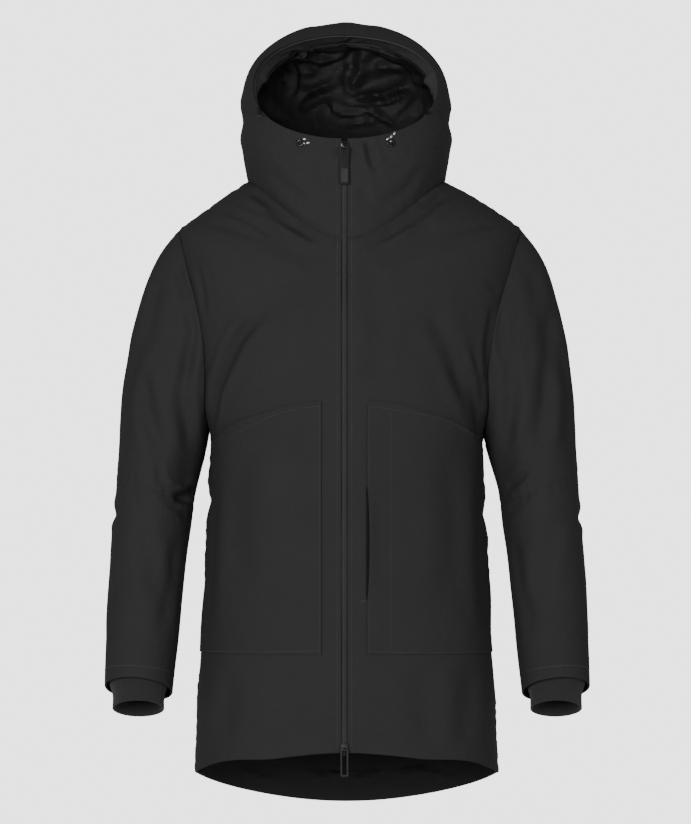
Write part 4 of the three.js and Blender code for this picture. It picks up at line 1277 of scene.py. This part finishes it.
SLEEVE_HEM_UP = 24 * MM
sleeve_rows = []
for name, side in SIDES.items():
    way = (ELBOWS[side] - WRISTS[side]).normalized()
    sleeve_rows += sliced("sleeve_lower_" + name, WRISTS[side] + way * SLEEVE_HEM_UP, way)
beads("stitches_sleeves", sleeve_rows, STITCH, THREAD)

# Zip
chain_mesh = frame["nodes"]["zip_chain"].data
chain = bmesh.new()
chain.from_mesh(chain_mesh)
bmesh.ops.remove_doubles(chain, verts=chain.verts, dist=MERGE)
chain_tree = BVHTree.FromBMesh(chain)
TAPE_BACK = 1.0 * MM
TAPE_SPREAD = 1.3            # the tape runs on under the edges of the fronts
bmesh.ops.translate(chain, vec=(0, TAPE_BACK, 0), verts=chain.verts)
bmesh.ops.scale(
    chain, vec=(TAPE_SPREAD, 1, 1), space=Matrix.Translation((-ZIP_X, 0, 0)), verts=chain.verts
)
tape = new_object("zip_tape", finish_mesh("zip_tape", chain), TAPE, COAT)
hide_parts("zip_chain")
CHAIN_TOP = 53 * MM
CHAIN_FOOT = -785 * MM
TOOTH = (2.5 * MM, 1.15 * MM, 1.3 * MM)
TOOTH_STEP = 1.5 * MM


def coil(side):
    """One row of teeth down the chain."""
    found = []
    count = int((CHAIN_TOP - CHAIN_FOOT) / TOOTH_STEP)
    for i in range(count):
        z = CHAIN_TOP - (i + 0.25 + 0.25 * side) * TOOTH_STEP
        place, normal, _, _ = chain_tree.ray_cast(Vector((ZIP_X + side * 0.9 * MM, -1, z)), Vector((0, 1, 0)))
        if place is not None:
            found.append((place + Vector((0, 0.55 * MM, 0)), Vector((1, 0, 0.1 * side)), normal))
    return found


beads("zip_coil_left", coil(-1), TOOTH, COIL)
beads("zip_coil_right", coil(1), TOOTH, COIL)


def refined(node, material, body, width=0.35 * MM, name=None):
    """A copy of a hard node with its edges eased."""
    bm = bmesh.new()
    bm.from_mesh(frame["nodes"][node].data)
    bmesh.ops.remove_doubles(bm, verts=bm.verts, dist=0.01 * MM)
    bm.normal_update()
    bmesh.ops.dissolve_limit(bm, angle_limit=math.radians(2), verts=bm.verts, edges=bm.edges)
    edges_to_ease = [edge for edge in bm.edges if edge.calc_face_angle(0) > math.radians(35)]
    bmesh.ops.bevel(
        bm, geom=edges_to_ease, offset=width, segments=2, profile=0.5, affect="EDGES", material=-1,
        clamp_overlap=True,
    )
    bmesh.ops.triangulate(bm, faces=bm.faces)
    piece = new_object(name or node + "_detailed", finish_mesh(node + "_detailed", bm), material, body)
    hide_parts(node)
    return piece




def pull_panel():
    """Raised panel on the lower half of the top pull."""
    low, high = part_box("pull_top")
    bm = bmesh.new()
    bmesh.ops.create_cube(bm, size=1)
    bmesh.ops.scale(bm, vec=PANEL_SIZE, verts=bm.verts)
    middle = ((low[0] + high[0]) / 2, low[1], low[2] + PANEL_UP + PANEL_SIZE[2] / 2)
    bmesh.ops.translate(bm, vec=middle, verts=bm.verts)
    upright = [edge for edge in bm.edges if abs(edge.verts[0].co.y - edge.verts[1].co.y) > 0.3 * MM]
    bmesh.ops.bevel(
        bm, geom=upright, offset=1.4 * MM, segments=3, profile=0.5, affect="EDGES", material=-1
    )
    front = [face for face in bm.faces if face.normal.y < -0.9]
    bmesh.ops.inset_region(bm, faces=front, thickness=0.9 * MM, depth=-0.25 * MM)
    rims = [edge for edge in bm.edges if edge.calc_face_angle(0) > math.radians(40)]
    bmesh.ops.bevel(
        bm, geom=rims, offset=0.12 * MM, segments=2, profile=0.5, affect="EDGES", material=-1
    )
    return finish_mesh("pull_panel", bm)


PANEL_SIZE = (9.0 * MM, 0.9 * MM, 19 * MM)
PANEL_UP = 3.0 * MM
new_object("pull_panel", pull_panel(), PANEL, "top_pull")

# Small bright cord ends beside the eyelets, as four rounded lumps each
CORD_ENDS = {
    "left": [((299.6, 140.2), 0.3), ((303.6, 143.2), -0.6), ((308, 143), 0.2), ((304.4, 139.4), 0.1)],
    "right": [((387.6, 139.2), 0.6), ((391, 136.8), 1.0), ((394.2, 133.6), 1.1), ((390.4, 141.2), 0.2)],
}
CORD_END = (6.2 * MM, 4.0 * MM, 3.2 * MM)
for name, lumps in CORD_ENDS.items():
    spots = []
    for (px, py), turn in lumps:
        start, direction = ray("front", px, py)
        place, normal, _, _ = shell_tree.ray_cast(start, direction, 20.0)
        along = Vector((math.cos(turn), 0, math.sin(turn)))
        spots.append((place + normal * 1.0 * MM, along, normal))
    beads("cord_end_" + name, spots, CORD_END, BRIGHT, level=3)

refined("slider_top", BLACK_METAL, COAT)
refined("pull_top", RUBBER, "top_pull")
refined("slider_bottom", STEEL, COAT)
refined("pull_bottom", STEEL, "bottom_pull", 0.3 * MM)
refined("eyelet_left", BLACK_METAL, COAT, 0.25 * MM)
refined("eyelet_right", BLACK_METAL, COAT, 0.25 * MM)


# Stage and lights
FLOOR = -1.25
FLOOR_REACH = 2.5


def floor_paint():
    paint = Finish("pale_floor_paint", 0.9, specular=0.1)
    cloud = paint.noise(0.8, 2.0)
    paint.colours(cloud, grey(0.72), grey(0.74))
    paint.bump((paint.noise(0.01, 2.0), 0.02 * MM))
    return paint.material


disc = bmesh.new()
bmesh.ops.create_circle(disc, cap_ends=True, segments=96, radius=FLOOR_REACH)
bmesh.ops.translate(disc, vec=(0, 0, FLOOR), verts=disc.verts)
floor = bpy.data.objects.new("floor", finish_mesh("floor", disc, smooth=False))
floor.data.materials.append(floor_paint())
bpy.context.scene.collection.objects.link(floor)


def soft_light(name, place, aim, size, power):
    data = bpy.data.lights.new(name, "AREA")
    data.shape = "RECTANGLE"
    data.size, data.size_y = size
    data.energy = power
    light = bpy.data.objects.new(name, data)
    light.location = place
    light.rotation_euler = (Vector(aim) - Vector(place)).to_track_quat("-Z", "Y").to_euler()
    bpy.context.scene.collection.objects.link(light)


soft_light("key", (-2.1, -5.0, 0.45), (0, 0, -0.1), (1.8, 1.8), 330)
soft_light("fill", (2.6, -4.8, -0.2), (0, 0, -0.3), (2.2, 2.2), 130)
soft_light("behind", (0, 8.0, -0.3), (0, 0, -0.3), (0.8, 0.8), 700)

SKY = (0.97, 0.98, 1.0, 1)
SKY_LIGHT = 0.46
SKY_SEEN = 3.0


def sky():
    """Even pale surroundings, seen brighter than they light."""
    world = bpy.data.worlds.new("studio")
    world.use_nodes = True
    nodes = world.node_tree.nodes
    links = world.node_tree.links
    light_path = nodes.new("ShaderNodeLightPath")
    strength = nodes.new("ShaderNodeMapRange")
    strength.inputs["To Min"].default_value = SKY_LIGHT
    strength.inputs["To Max"].default_value = SKY_SEEN
    links.new(light_path.outputs["Is Camera Ray"], strength.inputs["Value"])
    links.new(strength.outputs["Result"], nodes["Background"].inputs["Strength"])
    nodes["Background"].inputs["Color"].default_value = SKY
    bpy.context.scene.world = world


sky()
